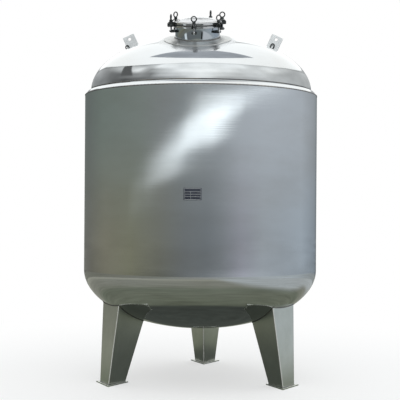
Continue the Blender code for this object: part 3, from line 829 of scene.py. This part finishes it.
def buildClamps():
    # At each joint: two ears with a headed pin, a threaded bolt with its eye, and a ring nut.
    top = lidTop - clamp["pivotHeight"]
    half, bore = clamp["eyeWidth"] / 2, clamp["shankRadius"] + gap
    inside, thick, pin = half + ears["clearance"], ears["thickness"], clamp["pinRadius"]
    tall, root, end = ears["height"] / 2, ears["root"], ears["round"]
    outline = np.concatenate([[(root, -tall), (end, -tall)],
                              arcPoints((end, 0), tall, -90, 90, 13)[1:-1],
                              [(end, tall), (root, tall)]])
    bracket = [plateAcross(outline, thick / 2, ears["edge"], side * (inside + thick / 2))
               for side in (-1, 1)]
    outside, wide = inside + thick + ears["pinHead"], ears["headRadius"]
    under = outside - ears["headDepth"]
    profile = eased([(0, -outside), (wide, -outside), (wide, -under), (pin, -under), (pin, under),
                     (wide, under), (wide, outside), (0, outside)], ears["pinEdge"], 2, loop=False)
    bracket.append(aboutPivot(turnedShell(profile, 24, closed=False)))

    ringCentre = nut["ringHeight"] - clamp["pivotHeight"]
    wireLow = ringCentre - nut["ringRadius"]
    shank = threaded(clamp["shankStart"], wireLow + clamp["shankEnd"], clamp["shankRadius"],
                     clamp["threadPitch"], clamp["threadDepth"])
    eye = eased(ringProfile(pin + gap, clamp["eyeRadius"], -half, half), clamp["eyeEdge"], 2)
    bolt = [aboutPivot(turnedShell(eye, 36)), gridFaces(capped(shank), False, True)]

    low = top + nut["slack"]
    high = low + nut["collarDepth"]
    (wide, rise), (narrow, reach) = nut["neckFoot"], nut["neckTop"]
    collar = eased([(bore, low), (nut["collarRadius"], low), (nut["collarRadius"], high),
                    (wide, high + rise), (narrow, wireLow + reach), (bore, wireLow + reach)],
                   nut["edges"], 3)
    turn = wholeTurn(48)
    ring = tube(upright(nut["ringRadius"], turn, ringCentre), upright(1, turn, 0), nut["wire"], 16,
                True)
    ringNut = [turnedShell(collar, 40), ring]
    for number, (place, twist) in enumerate(zip(places, nut["turns"]), 1):
        foot = (manwayPlace.inverted() @ place).translation
        angle = math.radians(90 + twist) - math.atan2(foot.x, -foot.y)
        addPiece(f"bracket_{number}", placedShells(bracket, place), darkSteel,
                 f"bolt_bracket_{number}")
        addPiece(f"bolt_{number}", placedShells(bolt, place), bright,
                 f"swing_bolt_{number}", f"clamp_{number}")
        addPiece(f"nut_{number}", placedShells(ringNut, place @ Matrix.Rotation(angle, 4, "Z")),
                 darkSteel, f"eye_nut_{number}", f"clamp_{number}")


# Lifting lugs and rod loops

lug = {"radii": (0.586, 0.606), "tilt": 25.0, "width": 0.104, "thickness": 0.012, "height": 0.13,
       "foot": -0.02, "hole": 0.014, "holeDrop": 0.031, "corner": 0.006, "edge": 0.0012,
       "spacing": 0.004, "weldOut": 0.001, "weldCorner": 0.003, "weldSpacing": 0.0012}
loop = {"radii": (0.628, 0.602), "front": 0.034, "spacing": 0.028, "height": 0.055, "wire": 0.005,
        "root": 0.012, "weldOut": 0.001, "weldUp": 0.0005}


def tiltedFoot(side, x, y, tilt):
    # A frame on the dome at (x, y) on that side, leaning outwards by that tilt.
    return (Matrix.Translation((side * x, y, float(domeHeight(x, y))))
            @ Matrix.Rotation(side * math.radians(tilt), 4, "Y"))


def buildLug(side, label, radius):
    # The plate's rays run from the hole's rim to its outline: at each turn the reach is the
    # distance to the nearest side, so u goes round the hole and v over the front and back.
    place = tiltedFoot(side, radius, 0.0, lug["tilt"])
    level = lug["height"] - lug["holeDrop"]
    half, top, low = lug["width"] / 2, lug["height"], lug["foot"]
    corners = eased([(half, low), (half, top), (-half, top), (-half, low)],
                    [0, lug["corner"], lug["corner"], 0], 6)
    path = resampled(corners, lug["spacing"])
    turn = np.arctan2(path[:, 1] - level, path[:, 0])
    hole = polar(lug["hole"], turn) + [0, level]
    t, edge = lug["thickness"] / 2, lug["edge"]
    away = unit(path - hole)
    order = [(hole, 0, t - edge), (hole, edge, t), (path, -edge, t), (path, 0, t - edge),
             (path, 0, edge - t), (path, -edge, -t), (hole, edge, -t), (hole, 0, edge - t)]
    grid = np.array([raised(points + away * inset, depth)[:, [0, 2, 1]]
                     for points, inset, depth in order])
    addPiece(f"lug_{label}", [gridFaces(placed(grid, place), True, True)], lugSteel,
             f"lifting_lug_{label}")
    w, d = half + lug["weldOut"], t + lug["weldOut"]
    foot = eased([(w, -d), (w, d), (-w, d), (-w, -d)], lug["weldCorner"])
    foot = resampled(foot, lug["weldSpacing"])
    path = onDome(foot, place, lug["weldOut"])
    addWeld(f"lug_weld_{label}", "satin_steel", ("lug", path, domeNormal(path)))


def buildLoop(side, label, radius):
    # A rod bent over a half circle, with both its ends welded to the dome.
    place = tiltedFoot(side, radius, -loop["front"], lug["tilt"])
    half = loop["spacing"] / 2
    straight = loop["height"] - loop["wire"] - half
    down = np.linspace(straight, -loop["root"], 8)[1:]
    right, left = [np.stack([0 * down + x, 0 * down, down], -1) for x in (half, -half)]
    bend = upright(half, np.linspace(0, np.pi, 25), straight)
    path = np.concatenate([right[::-1], bend, left])
    rod = tube(path, np.broadcast_to([0.0, 1.0, 0.0], path.shape), loop["wire"], 14)
    addPiece(f"loop_{label}", placedShells([rod], place), darkSteel,
             f"rod_loop_{label}")
    rings = [ringOutline(loop["wire"] + loop["weldOut"], 40) + [end, 0] for end in (-half, half)]
    feet = [onDome(ring, place, loop["weldUp"]) for ring in rings]
    beads = [("loop", foot, domeNormal(foot)) for foot in feet]
    addWeld(f"loop_weld_{label}", "satin_steel", *beads)


# Legs

leg = {"angles": (210.0, 330.0, 90.0), "names": ("front_left", "front_right", "rear"),
       "faceRadius": 0.881, "faceSlope": -0.082, "halfWidth": 0.0965, "widthSlope": 0.122,
       "edgeRadius": 0.69, "wall": 0.006, "fold": 0.009, "sideSteps": 14, "foldSteps": 5,
       "rows": 30, "reach": 0.8, "innerFold": 0.6, "weldSpacing": 0.0015, "weldLean": 0.05}
leg["edgeSlope"] = (leg["faceSlope"] - leg["widthSlope"] * (leg["faceRadius"] - leg["edgeRadius"])
                    / leg["halfWidth"])
base = {"side": 0.272, "radius": 0.821, "thickness": 0.01, "edge": 0.0012, "corner": 0.003}


def legSection(height):
    # Three corners whose places change evenly with height: corner = foot + slope height.
    face = leg["faceRadius"] + leg["faceSlope"] * height
    half = leg["halfWidth"] + leg["widthSlope"] * height
    edge = leg["edgeRadius"] + leg["edgeSlope"] * height
    return np.array([(face, -half), (face, half), (edge, 0.0)])


def shrunk(section, distance):
    # A three-sided section whose sides have all moved inwards by a distance: each corner moves
    # along its bisector by distance / sin(half its angle).
    a, b = unit(np.roll(section, 1, 0) - section), unit(np.roll(section, -1, 0) - section)
    sine = np.sqrt((1 - (a * b).sum(1)) / 2)[:, None]
    return section + unit(a + b) * distance / sine


def foldedOutline(section, fold):
    # A short curve at each corner, and even points along the side that follows it.
    curves = eased(section, fold, leg["foldSteps"]).reshape(3, -1, 2)
    t = np.linspace(0, 1, leg["sideSteps"] + 1)[1:-1, None]
    start, end = curves[:, -1:], np.roll(curves, -1, 0)[:, :1]
    return np.concatenate([curves, start + (end - start) * t], 1).reshape(-1, 2)


def foldMarks():
    # One at the middle of each fold and zero along the sides, in the outline's own order.
    curve = np.sin(np.linspace(0, np.pi, leg["foldSteps"] + 1))
    return np.tile(np.concatenate([curve, np.zeros(leg["sideSteps"] - 1)]), 3)


def legLines(distance, fold):
    # Straight lines up the leg: each starts at the foot and goes towards its place higher up.
    return [raised(foldedOutline(shrunk(legSection(height), distance), fold), height)
            for height in (base["thickness"] + gap, leg["reach"])]


def meetBowl(start, end, clear):
    # Where each line meets the bottom head's ellipsoid: the first root of a quadratic.
    scale = 1 / np.array([jacketRadius + clear, jacketRadius + clear, bowlDepth + clear])
    p, d = (start - [0, 0, shellBottom]) * scale, (end - start) * scale
    a, b, c = (d * d).sum(1), (p * d).sum(1), (p * p).sum(1) - 1
    s = (-b - np.sqrt(np.clip(b * b - a * c, 0, None))) / a
    return start + s[:, None] * (end - start)


def legRows(distance, fold):
    # Rows of points up the leg, from its foot to the bowl: start + share (top - start).
    start, end = legLines(distance, fold)
    share = np.linspace(0, 1, leg["rows"])[:, None, None]
    return start + (meetBowl(start, end, gap) - start) * share


def buildLeg(name, angle):
    # Outer face up from the foot to the bowl, and inner face down.
    place = Matrix.Rotation(math.radians(angle), 4, "Z")
    outer = legRows(0.0, leg["fold"])
    inner = legRows(leg["wall"], leg["fold"] - leg["wall"] * leg["innerFold"])
    rows = np.concatenate([outer, inner[::-1]])
    marks = np.zeros(rows.shape[:2])
    marks[:leg["rows"]] = foldMarks()
    addPiece(f"leg_skin_{name}", [gridFaces(placed(rows, place), True, True)], legSteel,
             f"leg_{name}", marks=marks)
    foot, top = [resampled(placed(row, place), leg["weldSpacing"]) for row in (outer[0], outer[-1])]
    inward = -headNormal(top, jacketRadius, bowlDepth, shellBottom)
    addWeld(f"leg_top_weld_{name}", "leg_steel", ("legTop", top, inward))
    addWeld(f"leg_foot_weld_{name}", "leg_steel",
            ("legFoot", foot, foot - foot.mean(0) + [0, 0, leg["weldLean"]]))
    corners = polar(base["side"] / math.sqrt(3), np.radians([180, 300, 60])) + [base["radius"], 0]
    shell = slab(eased(corners, base["corner"]), 0.0, base["thickness"], base["edge"])
    addPiece(f"base_skin_{name}", placedShells([shell], place), legSteel,
             f"base_plate_{name}")


# Data plate

plate = {"width": 0.139, "height": 0.096, "centre": 1.575, "thickness": 0.0015, "edge": 0.0005,
         "corner": 0.004, "spacing": 0.003, "inset": 0.9, "frame": 0.0012, "rule": 0.00096,
         "flatness": 0.4, "rows": (0.3, 0.52, 0.74), "column": 0.38}


def wrapped(points):
    # A flat drawing (across, up, out) laid on the front of the jacket.
    turn = points[..., 0] / jacketRadius - np.pi / 2
    return polar(jacketRadius + points[..., 2], turn, points[..., 1] + plate["centre"])


def rule(line, width, loop):
    # A flat line of the drawing as a low rib.
    path = wrapped(raised(line, plate["thickness"]))
    section = ringOutline(width, 6) * [1, plate["flatness"]]
    return sweptFaces(swept(path, path * [1, 1, 0], section, loop), loop)


def buildDataPlate():
    # A thin slab, a raised frame line and ruled lines, all wrapped on the jacket.
    half, tall = plate["width"] / 2, plate["height"] / 2
    corners = [(half, -tall), (half, tall), (-half, tall), (-half, -tall)]
    outline = resampled(eased(corners, plate["corner"]), plate["spacing"])
    points, faces = slab(outline, gap, plate["thickness"], plate["edge"])
    addPiece("data_plate_skin", [(wrapped(points), faces)], enamel, "data_plate")
    wide, high = half * plate["inset"], tall * plate["inset"]
    split = -wide + 2 * wide * plate["column"]
    levels = [high - 2 * high * row for row in plate["rows"]]
    lines = [((-wide, level), (wide, level)) for level in levels]
    shells = [rule(outline * plate["inset"], plate["frame"], True)]
    for line in lines + [((split, levels[0]), (split, -high))]:
        shells.append(rule(np.linspace(*line, 12), plate["rule"], False))
    addPiece("data_plate_rules", shells, bright)


buildJacket()
buildBottomHead()
buildTopHead()
buildClosingRing()
buildBodySeams()
print("tank body ready")
buildNeck()
buildPad()
buildFlange()
buildLid()
buildForks()
buildClamps()
print("manway ready")
for i, (side, label) in enumerate([(-1, "left"), (1, "right")]):
    buildLug(side, label, lug["radii"][i])
    buildLoop(side, label, loop["radii"][i])
for name, angle in zip(leg["names"], leg["angles"]):
    buildLeg(name, angle)
buildDataPlate()
print("legs, lugs and plate ready")

for name in ("vessel_shell", "vessel_bottom_head"):
    materials = frame["nodes"][name].data.materials
    materials.clear()
    materials.append(satin)


# Studio

studio = {"floor": (0.94, 0.94, 0.935), "floorGlow": (0.55, 1.0), "floorFade": (1.6, 4.5),
          "floorSize": 60.0, "backdrop": (1.0, 1.0, 1.0), "groundReach": (4.9, 5.4),
          "ground": [(0.0, (0.15, 0.165, 0.125)), (0.84, (0.15, 0.165, 0.125)),
                     (1.0, (0.173, 0.191, 0.145)), (1.35, (0.185, 0.2, 0.155)),
                     (1.75, (0.18, 0.2, 0.155)), (2.0, (0.24, 0.25, 0.205)),
                     (2.4, (0.275, 0.28, 0.24)), (3.5, (0.285, 0.29, 0.25)),
                     (4.3, (0.37, 0.375, 0.32)), (5.4, (0.39, 0.395, 0.34))],
          "bright": {"colour": (0.49, 0.525, 0.535), "across": (1.15, 2.3), "reach": (1.4, 2.2),
                     "lag": (0.0, 1.5, 0.0, 0.9)},
          "shade": {"colour": (0.064, 0.072, 0.063), "centre": 0.25, "wide": 0.9, "deep": 1.05,
                    "edge": (1.12, 0.9)},
          "streaks": (1.5, 9.0), "streakStrength": 0.9}
camera = {"place": (0.531, -8.684, 1.497), "focal": 1002.0, "frame": 400.0, "sensor": 36.0,
          "pitch": 0.0042, "roll": 0.0065, "turn": 0.0004}


def plainMaterial(name, colour, build=lambda tree, place: {}):
    # A dull colour, and whatever else build adds to it.
    return newMaterial(name, lambda tree, place: {
        "Base Color": colour, "Roughness": 0.8, "Specular IOR Level": 0.0,
        **build(tree, place)}, 0.0)


def glowing(material, colour, share=1.0):
    # The surface gives off that colour, or as much of it as share says.
    tree, nodes = Tree(material.node_tree), material.node_tree.nodes
    glow = tree.node("ShaderNodeEmission", None, {"Color": colour})
    plain = Wire(tree, nodes["Principled BSDF"].outputs[0])
    mixed = tree.node("ShaderNodeMixShader", None, {0: share, 1: plain, 2: glow})
    tree.fill(nodes["Material Output"].inputs[0], mixed)
    return material


def floorMaterial():
    # A pale floor that turns into the white of the backdrop further out.
    material = plainMaterial("paleFloor", studio["floor"])
    tree = Tree(material.node_tree)
    x, y, z = tree.split(tree.node("ShaderNodeTexCoord", output=3))
    near, far = studio["floorGlow"]
    share = near + tree.step((x * x + y * y) ** 0.5, *studio["floorFade"]) * (far - near)
    return glowing(material, studio["backdrop"], share)


def mirroredGround(tree, place):
    # The floor that the steel reflects: streaked in rings, bright at the right, dark below the
    # tank within (x / wide)^2 + ((y - centre) / deep)^2 < 1, and gone further out.
    x, y, z = tree.split(place)
    reach = (x * x + y * y) ** 0.5
    turn = tree.maths("ARCTAN2", x, 0.0 - y)
    end = studio["ground"][-1][0]
    stops = [(distance / end, colour) for distance, colour in studio["ground"]]
    side, shade = studio["bright"], studio["shade"]
    lag = tree.step(y, *side["lag"])  # it begins further out at the back
    right = tree.step(x, *side["across"]) * tree.step(reach - lag, *side["reach"])
    colour = tree.blend(right, tree.ramp(reach / end, stops), side["colour"])
    across, along = x / shade["wide"], (y - shade["centre"]) / shade["deep"]
    dark = tree.step(across * across + along * along, *shade["edge"])
    colour = tree.blend(dark, colour, shade["colour"])
    streaks = (tree.streaks((turn, reach), studio["streaks"]) - 0.5) * studio["streakStrength"]
    return {"Emission Color": tree.scaled(colour, 1.0 + streaks),
            "Emission Strength": 1.0, "Alpha": 1.0 - tree.step(reach, *studio["groundReach"])}


def stagePiece(name, shells, material, unseenBy):
    # One object of the studio, not of the tank, which some kinds of ray pass by.
    piece = newObject(name, makeMesh(name, shells))
    piece.data.materials.append(material)
    for ray in unseenBy:
        setattr(piece, "visible_" + ray, False)


def disc(radius, height):
    # A flat round floor: radius goes out in three steps, u round it.
    rows = [raised(ringOutline(reach, 64), height)
            for reach in (0.0, radius / 20, radius / 6, radius)]
    return gridFaces(np.array(rows), False, True)


def buildStage():
    # The floor, the floor that only reflections show, and a white ball round everything.
    size, white = studio["floorSize"], studio["backdrop"]
    others = ["diffuse", "shadow", "transmission"]
    stagePiece("floor", [disc(size, 0.0)], floorMaterial(), ["glossy"])
    stagePiece("reflected_floor", [disc(studio["groundReach"][1], -0.001)],
               plainMaterial("reflectedFloor", (0.0, 0.0, 0.0), mirroredGround),
               ["camera"] + others)
    upper, lower = [headRows(size, size, 0.0, way, 0, 24) for way in (1, -1)]
    profile = np.concatenate([upper, lower[::-1]])
    stagePiece("backdrop", [turnedShell(profile, 48, closed=False)],
               glowing(plainMaterial("whiteBackdrop", white), white), ["glossy"] + others)


def buildCamera():
    # The lens gives the photo's focal length in pixels, and the camera looks at the tank's axis.
    data = bpy.data.cameras.new("camera")
    data.sensor_width = camera["sensor"]
    data.lens = camera["focal"] * camera["sensor"] / camera["frame"]
    data.clip_end = 500.0
    view = newObject("camera", data)
    x, y, z = camera["place"]
    view.matrix_world = (Matrix.Translation((x, y, z))
                         @ Matrix.Rotation(math.atan2(x, -y) + camera["turn"], 4, "Z")
                         @ Matrix.Rotation(math.pi / 2 + camera["pitch"], 4, "X")
                         @ Matrix.Rotation(camera["roll"], 4, "Z"))
    bpy.context.scene.camera = view


# Light from all round, as (bearing in degrees from the camera's side, colour); left is negative
light = {
    "heading": math.atan2(camera["place"][0], -camera["place"][1]),
    "deepBelow": [(-180, (0.165, 0.185, 0.19)), (-100, (0.175, 0.195, 0.2)),
        (-56, (0.2, 0.21, 0.21)), (26, (0.2, 0.22, 0.215)), (33, (0.74, 0.75, 0.76)),
        (60, (0.75, 0.76, 0.77)), (96, (0.72, 0.74, 0.75)), (130, (0.32, 0.36, 0.38)),
        (180, (0.165, 0.185, 0.19))],
    "farFrom": (-4.8, -6.0), "deepFrom": (-11.3, -14.2), "aboveFrom": (-3.5, 5.5),
    "floorStreaks": {"scales": (0.8, 5.0), "strength": 1.7, "heights": (-12.0, -2.2, 0.8)},
    "deepGlint": {"bearings": (-73.0, -61.0, 1.0), "level": 5.5},
    "deepShade": {"bearings": (21.0, 28.0, 1.0), "below": (-15.0, -17.0), "level": 0.12},
    "farBelow": [(-180, (0.22, 0.23, 0.2)), (-90, (0.22, 0.22, 0.185)), (-35, (0.26, 0.27, 0.24)),
        (0, (0.35, 0.36, 0.34)), (30, (0.42, 0.45, 0.45)), (60, (0.5, 0.54, 0.56)),
        (110, (0.48, 0.53, 0.56)), (150, (0.33, 0.36, 0.37)), (180, (0.22, 0.23, 0.2))],
    "sill": [(-180, 0.75), (-60, 0.68), (-35, 0.72), (-10, 1.1), (15, 1.36), (40, 1.25), (80, 1.08),
        (180, 0.75)],
    "belowHorizon": [(-180, (0.12, 0.13, 0.12)), (-166, (0.18, 0.185, 0.165)),
        (-145, (0.19, 0.19, 0.17)), (-105, (0.27, 0.26, 0.2)), (-70, (0.25, 0.25, 0.18)),
        (-40, (0.21, 0.215, 0.18)), (-15, (0.2, 0.215, 0.22)), (5, (0.205, 0.225, 0.24)),
        (20, (0.25, 0.27, 0.29)), (40, (0.37, 0.38, 0.43)), (62, (0.43, 0.47, 0.51)),
        (115, (0.44, 0.5, 0.56)), (145, (0.3, 0.35, 0.4)), (155, (0.25, 0.29, 0.33)),
        (166, (0.15, 0.17, 0.18)), (180, (0.12, 0.13, 0.12))],
    "aboveHorizon": [(-180, (0.11, 0.125, 0.12)), (-166, (0.155, 0.175, 0.165)),
        (-145, (0.165, 0.187, 0.177)), (-110, (0.22, 0.26, 0.235)), (-60, (0.255, 0.29, 0.27)),
        (-35, (0.28, 0.3, 0.3)), (-15, (0.3, 0.33, 0.34)), (10, (0.35, 0.38, 0.4)),
        (38, (0.52, 0.56, 0.6)), (62, (0.56, 0.6, 0.65)), (115, (0.55, 0.59, 0.64)),
        (145, (0.39, 0.42, 0.45)), (155, (0.32, 0.35, 0.37)), (166, (0.17, 0.19, 0.2)),
        (180, (0.11, 0.125, 0.12))],
    "horizonSky": [(-180, 0.47), (-140, 0.33), (-118, 0.3), (-104, 0.18), (-84, 0.12), (-64, 0.22),
        (-42, 0.32), (-21, 0.6), (-4, 1.15), (6, 1.05), (19, 0.6), (50, 0.65), (80, 0.75),
        (130, 0.6), (180, 0.47)],
    "lowSky": [(-180, 0.95), (-144, 0.5), (-113, 0.24), (-98, 0.22), (-79, 0.36), (-68, 0.44),
        (-55, 0.29), (-44, 0.68), (-22, 0.93), (0, 1.25), (19, 1.07), (41, 0.81), (66, 0.94),
        (96, 0.66), (117, 0.6), (143, 0.67), (180, 0.95)],
    "middleSky": [(-180, 0.85), (-139, 0.72), (-110, 0.75), (-90, 0.9), (-77, 1.24), (-69, 0.7),
        (-62, 0.5), (-49, 0.75), (-37, 0.98), (-13, 1.38), (10, 1.35), (34, 1.19), (47, 0.97),
        (75, 1.03), (90, 1.22), (108, 0.89), (150, 0.87), (180, 0.85)],
    "highSky": [(-180, 1.0), (-139, 0.9), (-97, 0.6), (-78, 0.62), (-66, 0.85), (-58, 1.34),
        (-30, 1.1), (-10, 1.27), (26, 1.22), (56, 1.24), (72, 0.92), (90, 0.86), (110, 1.1),
        (180, 1.0)],
    "sillHeights": (-4.8, -3.95, 0.12), "skyFrom": (7.1, 8.3),
    "skyHeights": ((11.0, 21.0), (26.0, 37.0), (40.0, 50.0)), "skyTint": (0.97, 1.0, 1.01),
    "cloud": {"scale": 4.0, "inSky": 0.4, "inCard": 0.7},
    "door": {"bearing": -83.0, "lean": 0.00031, "width": 8.4, "spread": 0.02, "level": 0.15,
        "edge": (1.5, -1.5), "from": (18.0, 26.0)},
    "overhead": (1.34, 1.36, 1.36),
    "overheadFrom": [(-180, 11), (-168, 12.5), (-161, 15.5), (-148, 25.4), (-136, 31.6),
        (-120, 38.6), (-97, 46.8), (-79, 52.8), (-62, 57.9), (-27, 65.2), (-2, 66.9), (18, 66.2),
        (57, 59.9), (90, 49.5), (125, 35.4), (159, 17.4), (170, 12.5), (180, 11)],
    "overheadEdge": {"line": (-1.6, -0.2, 0.5), "level": 0.75, "full": (-0.2, 0.8)},
    "beam": {"height": 47.0, "bow": 0.12, "half": (6.2, 1.7), "reach": (14.0, 7.0), "level": 0.28},
    "card": {"front": -0.133, "bow": 1.0, "curl": 2.7, "back": (0.33, 0.3), "edge": 0.012,
        "above": (0.1, 0.3), "colour": (0.46, 0.49, 0.53)},
    "streak": [(-180, 0), (-75, 0.0), (-57, 1.2), (-38, 2.2), (-22, 3.1), (-11, 4.1), (0, 4.6),
        (11, 4.95), (22, 5.35), (33, 5.85), (44, 6.1), (56, 6.35), (67, 6.5), (80, 6.4),
        (180, 7.0)],
    "streakLevel": [(-180, 0.0), (-75, 0.0), (-57, 0.12), (-38, 0.5), (-22, 0.85), (-11, 1.15),
        (0, 1.25), (11, 1.45), (22, 1.35), (33, 0.9), (44, 0.7), (56, 0.5), (67, 0.45), (80, 0.28),
        (95, 0.08), (110, 0.0), (180, 0.0)],
    "streakAbove": [(-180, 0.95), (-22, 1.1), (-11, 0.95), (0, 1.1), (11, 0.95), (22, 0.7),
        (33, 0.4), (44, 0.25), (67, 0.35), (80, 0.18), (180, 0.95)],
    "streakTint": (0.94, 1.0, 1.03), "streakFall": 2.6,
    "streakBelow": [(-180, 0.95), (-22, 1.0), (-11, 1.2), (11, 1.25), (22, 1.05), (33, 0.95),
        (44, 0.4), (80, 0.3), (180, 0.95)],
}


def buildLight():
    # One colour for each direction: bands by elevation, each with its own colours all round.
    world = bpy.data.worlds.new("studioLight")
    world.use_nodes = True
    bpy.context.scene.world = world
    tree = Tree(world.node_tree)
    spin = tree.node("ShaderNodeMapping", None,
                     {0: tree.node("ShaderNodeTexCoord", output=0),
                      "Rotation": (0.0, 0.0, -light["heading"])})
    x, y, z = tree.split(spin)
    bearing = tree.maths("ARCTAN2", x, 0.0 - y)
    share = bearing / circle + 0.5
    degrees = bearing * (180 / math.pi)
    height = tree.maths("ARCSINE", z) * (180 / math.pi)

    def around(name, most=2.0):
        # A table of colours, or of numbers up to the most that it can hold, read all round.
        stops = [((where + 180) / 360, value if isinstance(value, tuple) else value / most)
                 for where, value in light[name]]
        made = tree.ramp(share, stops)
        return made if isinstance(light[name][0][1], tuple) else made * most

    # Below the horizon, with level streaks; the manway's neck sees furthest down.
    streaks = light["floorStreaks"]
    uneven = tree.streaks((bearing, height), streaks["scales"]) - 0.5
    glint, shade = light["deepGlint"], light["deepShade"]
    inGlint = tree.within(degrees, *glint["bearings"])
    inShade = tree.within(degrees, *shade["bearings"]) * tree.step(height, *shade["below"])
    deep = tree.scaled(around("deepBelow"), (1.0 + inGlint * (glint["level"] - 1.0))
                       * (1.0 - inShade * (1.0 - shade["level"])))
    far = tree.blend(tree.step(height, *light["deepFrom"]), around("farBelow"), deep)
    sill = tree.within(height, *light["sillHeights"]) * (around("sill") - 1.0)
    low = tree.scaled(around("belowHorizon"), 1.0 + sill)
    low = tree.blend(tree.step(height, *light["farFrom"]), low, far)
    colour = tree.blend(tree.step(height, *light["aboveFrom"]), low, around("aboveHorizon"))
    uneven = uneven * tree.within(height, *streaks["heights"]) * streaks["strength"]
    colour = tree.scaled(colour, 1.0 + uneven)
    offset = height - around("streak", 10.0)
    upper = tree.step(offset, -0.1, 0.1)
    width = around("streakAbove") * upper + around("streakBelow") * (1.0 - upper)
    fall = (abs(offset) / width) ** light["streakFall"]
    glow = around("streakLevel") * tree.maths("EXPONENT", 0.0 - fall)
    colour = tree.plus(colour, tree.scaled(light["streakTint"], glow))

    # The sky up to the overhead light, with a dark door whose centre leans with elevation cubed
    cloud = tree.noise(spin, light["cloud"]["scale"], 3.0, 0.55) - 0.5
    sky = around("horizonSky")
    for name, heights in zip(("lowSky", "middleSky", "highSky"), light["skyHeights"]):
        part = tree.step(height, *heights)
        sky = sky * (1.0 - part) + around(name) * part
    sky = sky * (1.0 + cloud * light["cloud"]["inSky"])
    door = light["door"]
    aside = abs(degrees - door["bearing"] + height * height * height * door["lean"])
    inDoor = (tree.step(aside - door["width"] - height * door["spread"], *door["edge"])
              * tree.step(height, *door["from"]))
    sky = sky * (1.0 - inDoor) + inDoor * door["level"]
    sky = tree.scaled(light["skyTint"], sky)
    colour = tree.blend(tree.step(height, *light["skyFrom"]), colour, sky)

    # The overhead light with a darker line round it, and a beam behind the tank
    above = height - around("overheadFrom", 100.0)
    edge = light["overheadEdge"]
    dark = tree.within(above, *edge["line"])
    colour = tree.scaled(colour, 1.0 - dark * (1.0 - edge["level"]))
    colour = tree.blend(tree.step(above, *edge["full"]), colour, light["overhead"])
    beam = light["beam"]
    behind = 180.0 - abs(degrees)
    rise = abs(height + behind * behind * beam["bow"] - beam["height"])
    dark = tree.step(rise, *beam["half"]) * tree.step(behind, *beam["reach"])
    colour = tree.scaled(colour, 1.0 - dark * (1.0 - beam["level"]))

    # A grey card straight above: front + bow X^2 + curl X^4 < Y < back, with X = x / z, Y = y / z
    card = light["card"]
    across, along = x / z, y / z
    square = across * across
    front = along - card["front"] - square * card["bow"] - square * square * card["curl"]
    inside = (tree.step(front, -card["edge"], card["edge"]) * tree.step(along, *card["back"])
              * tree.step(z, *card["above"]))
    cloudy = tree.scaled(card["colour"], 1.0 + cloud * light["cloud"]["inCard"])
    colour = tree.blend(inside, colour, cloudy)
    tree.fill(world.node_tree.nodes["Background"].inputs["Color"], colour)


buildStage()
buildCamera()
buildLight()
bpy.context.scene.view_settings.view_transform = "Standard"
print("studio ready")
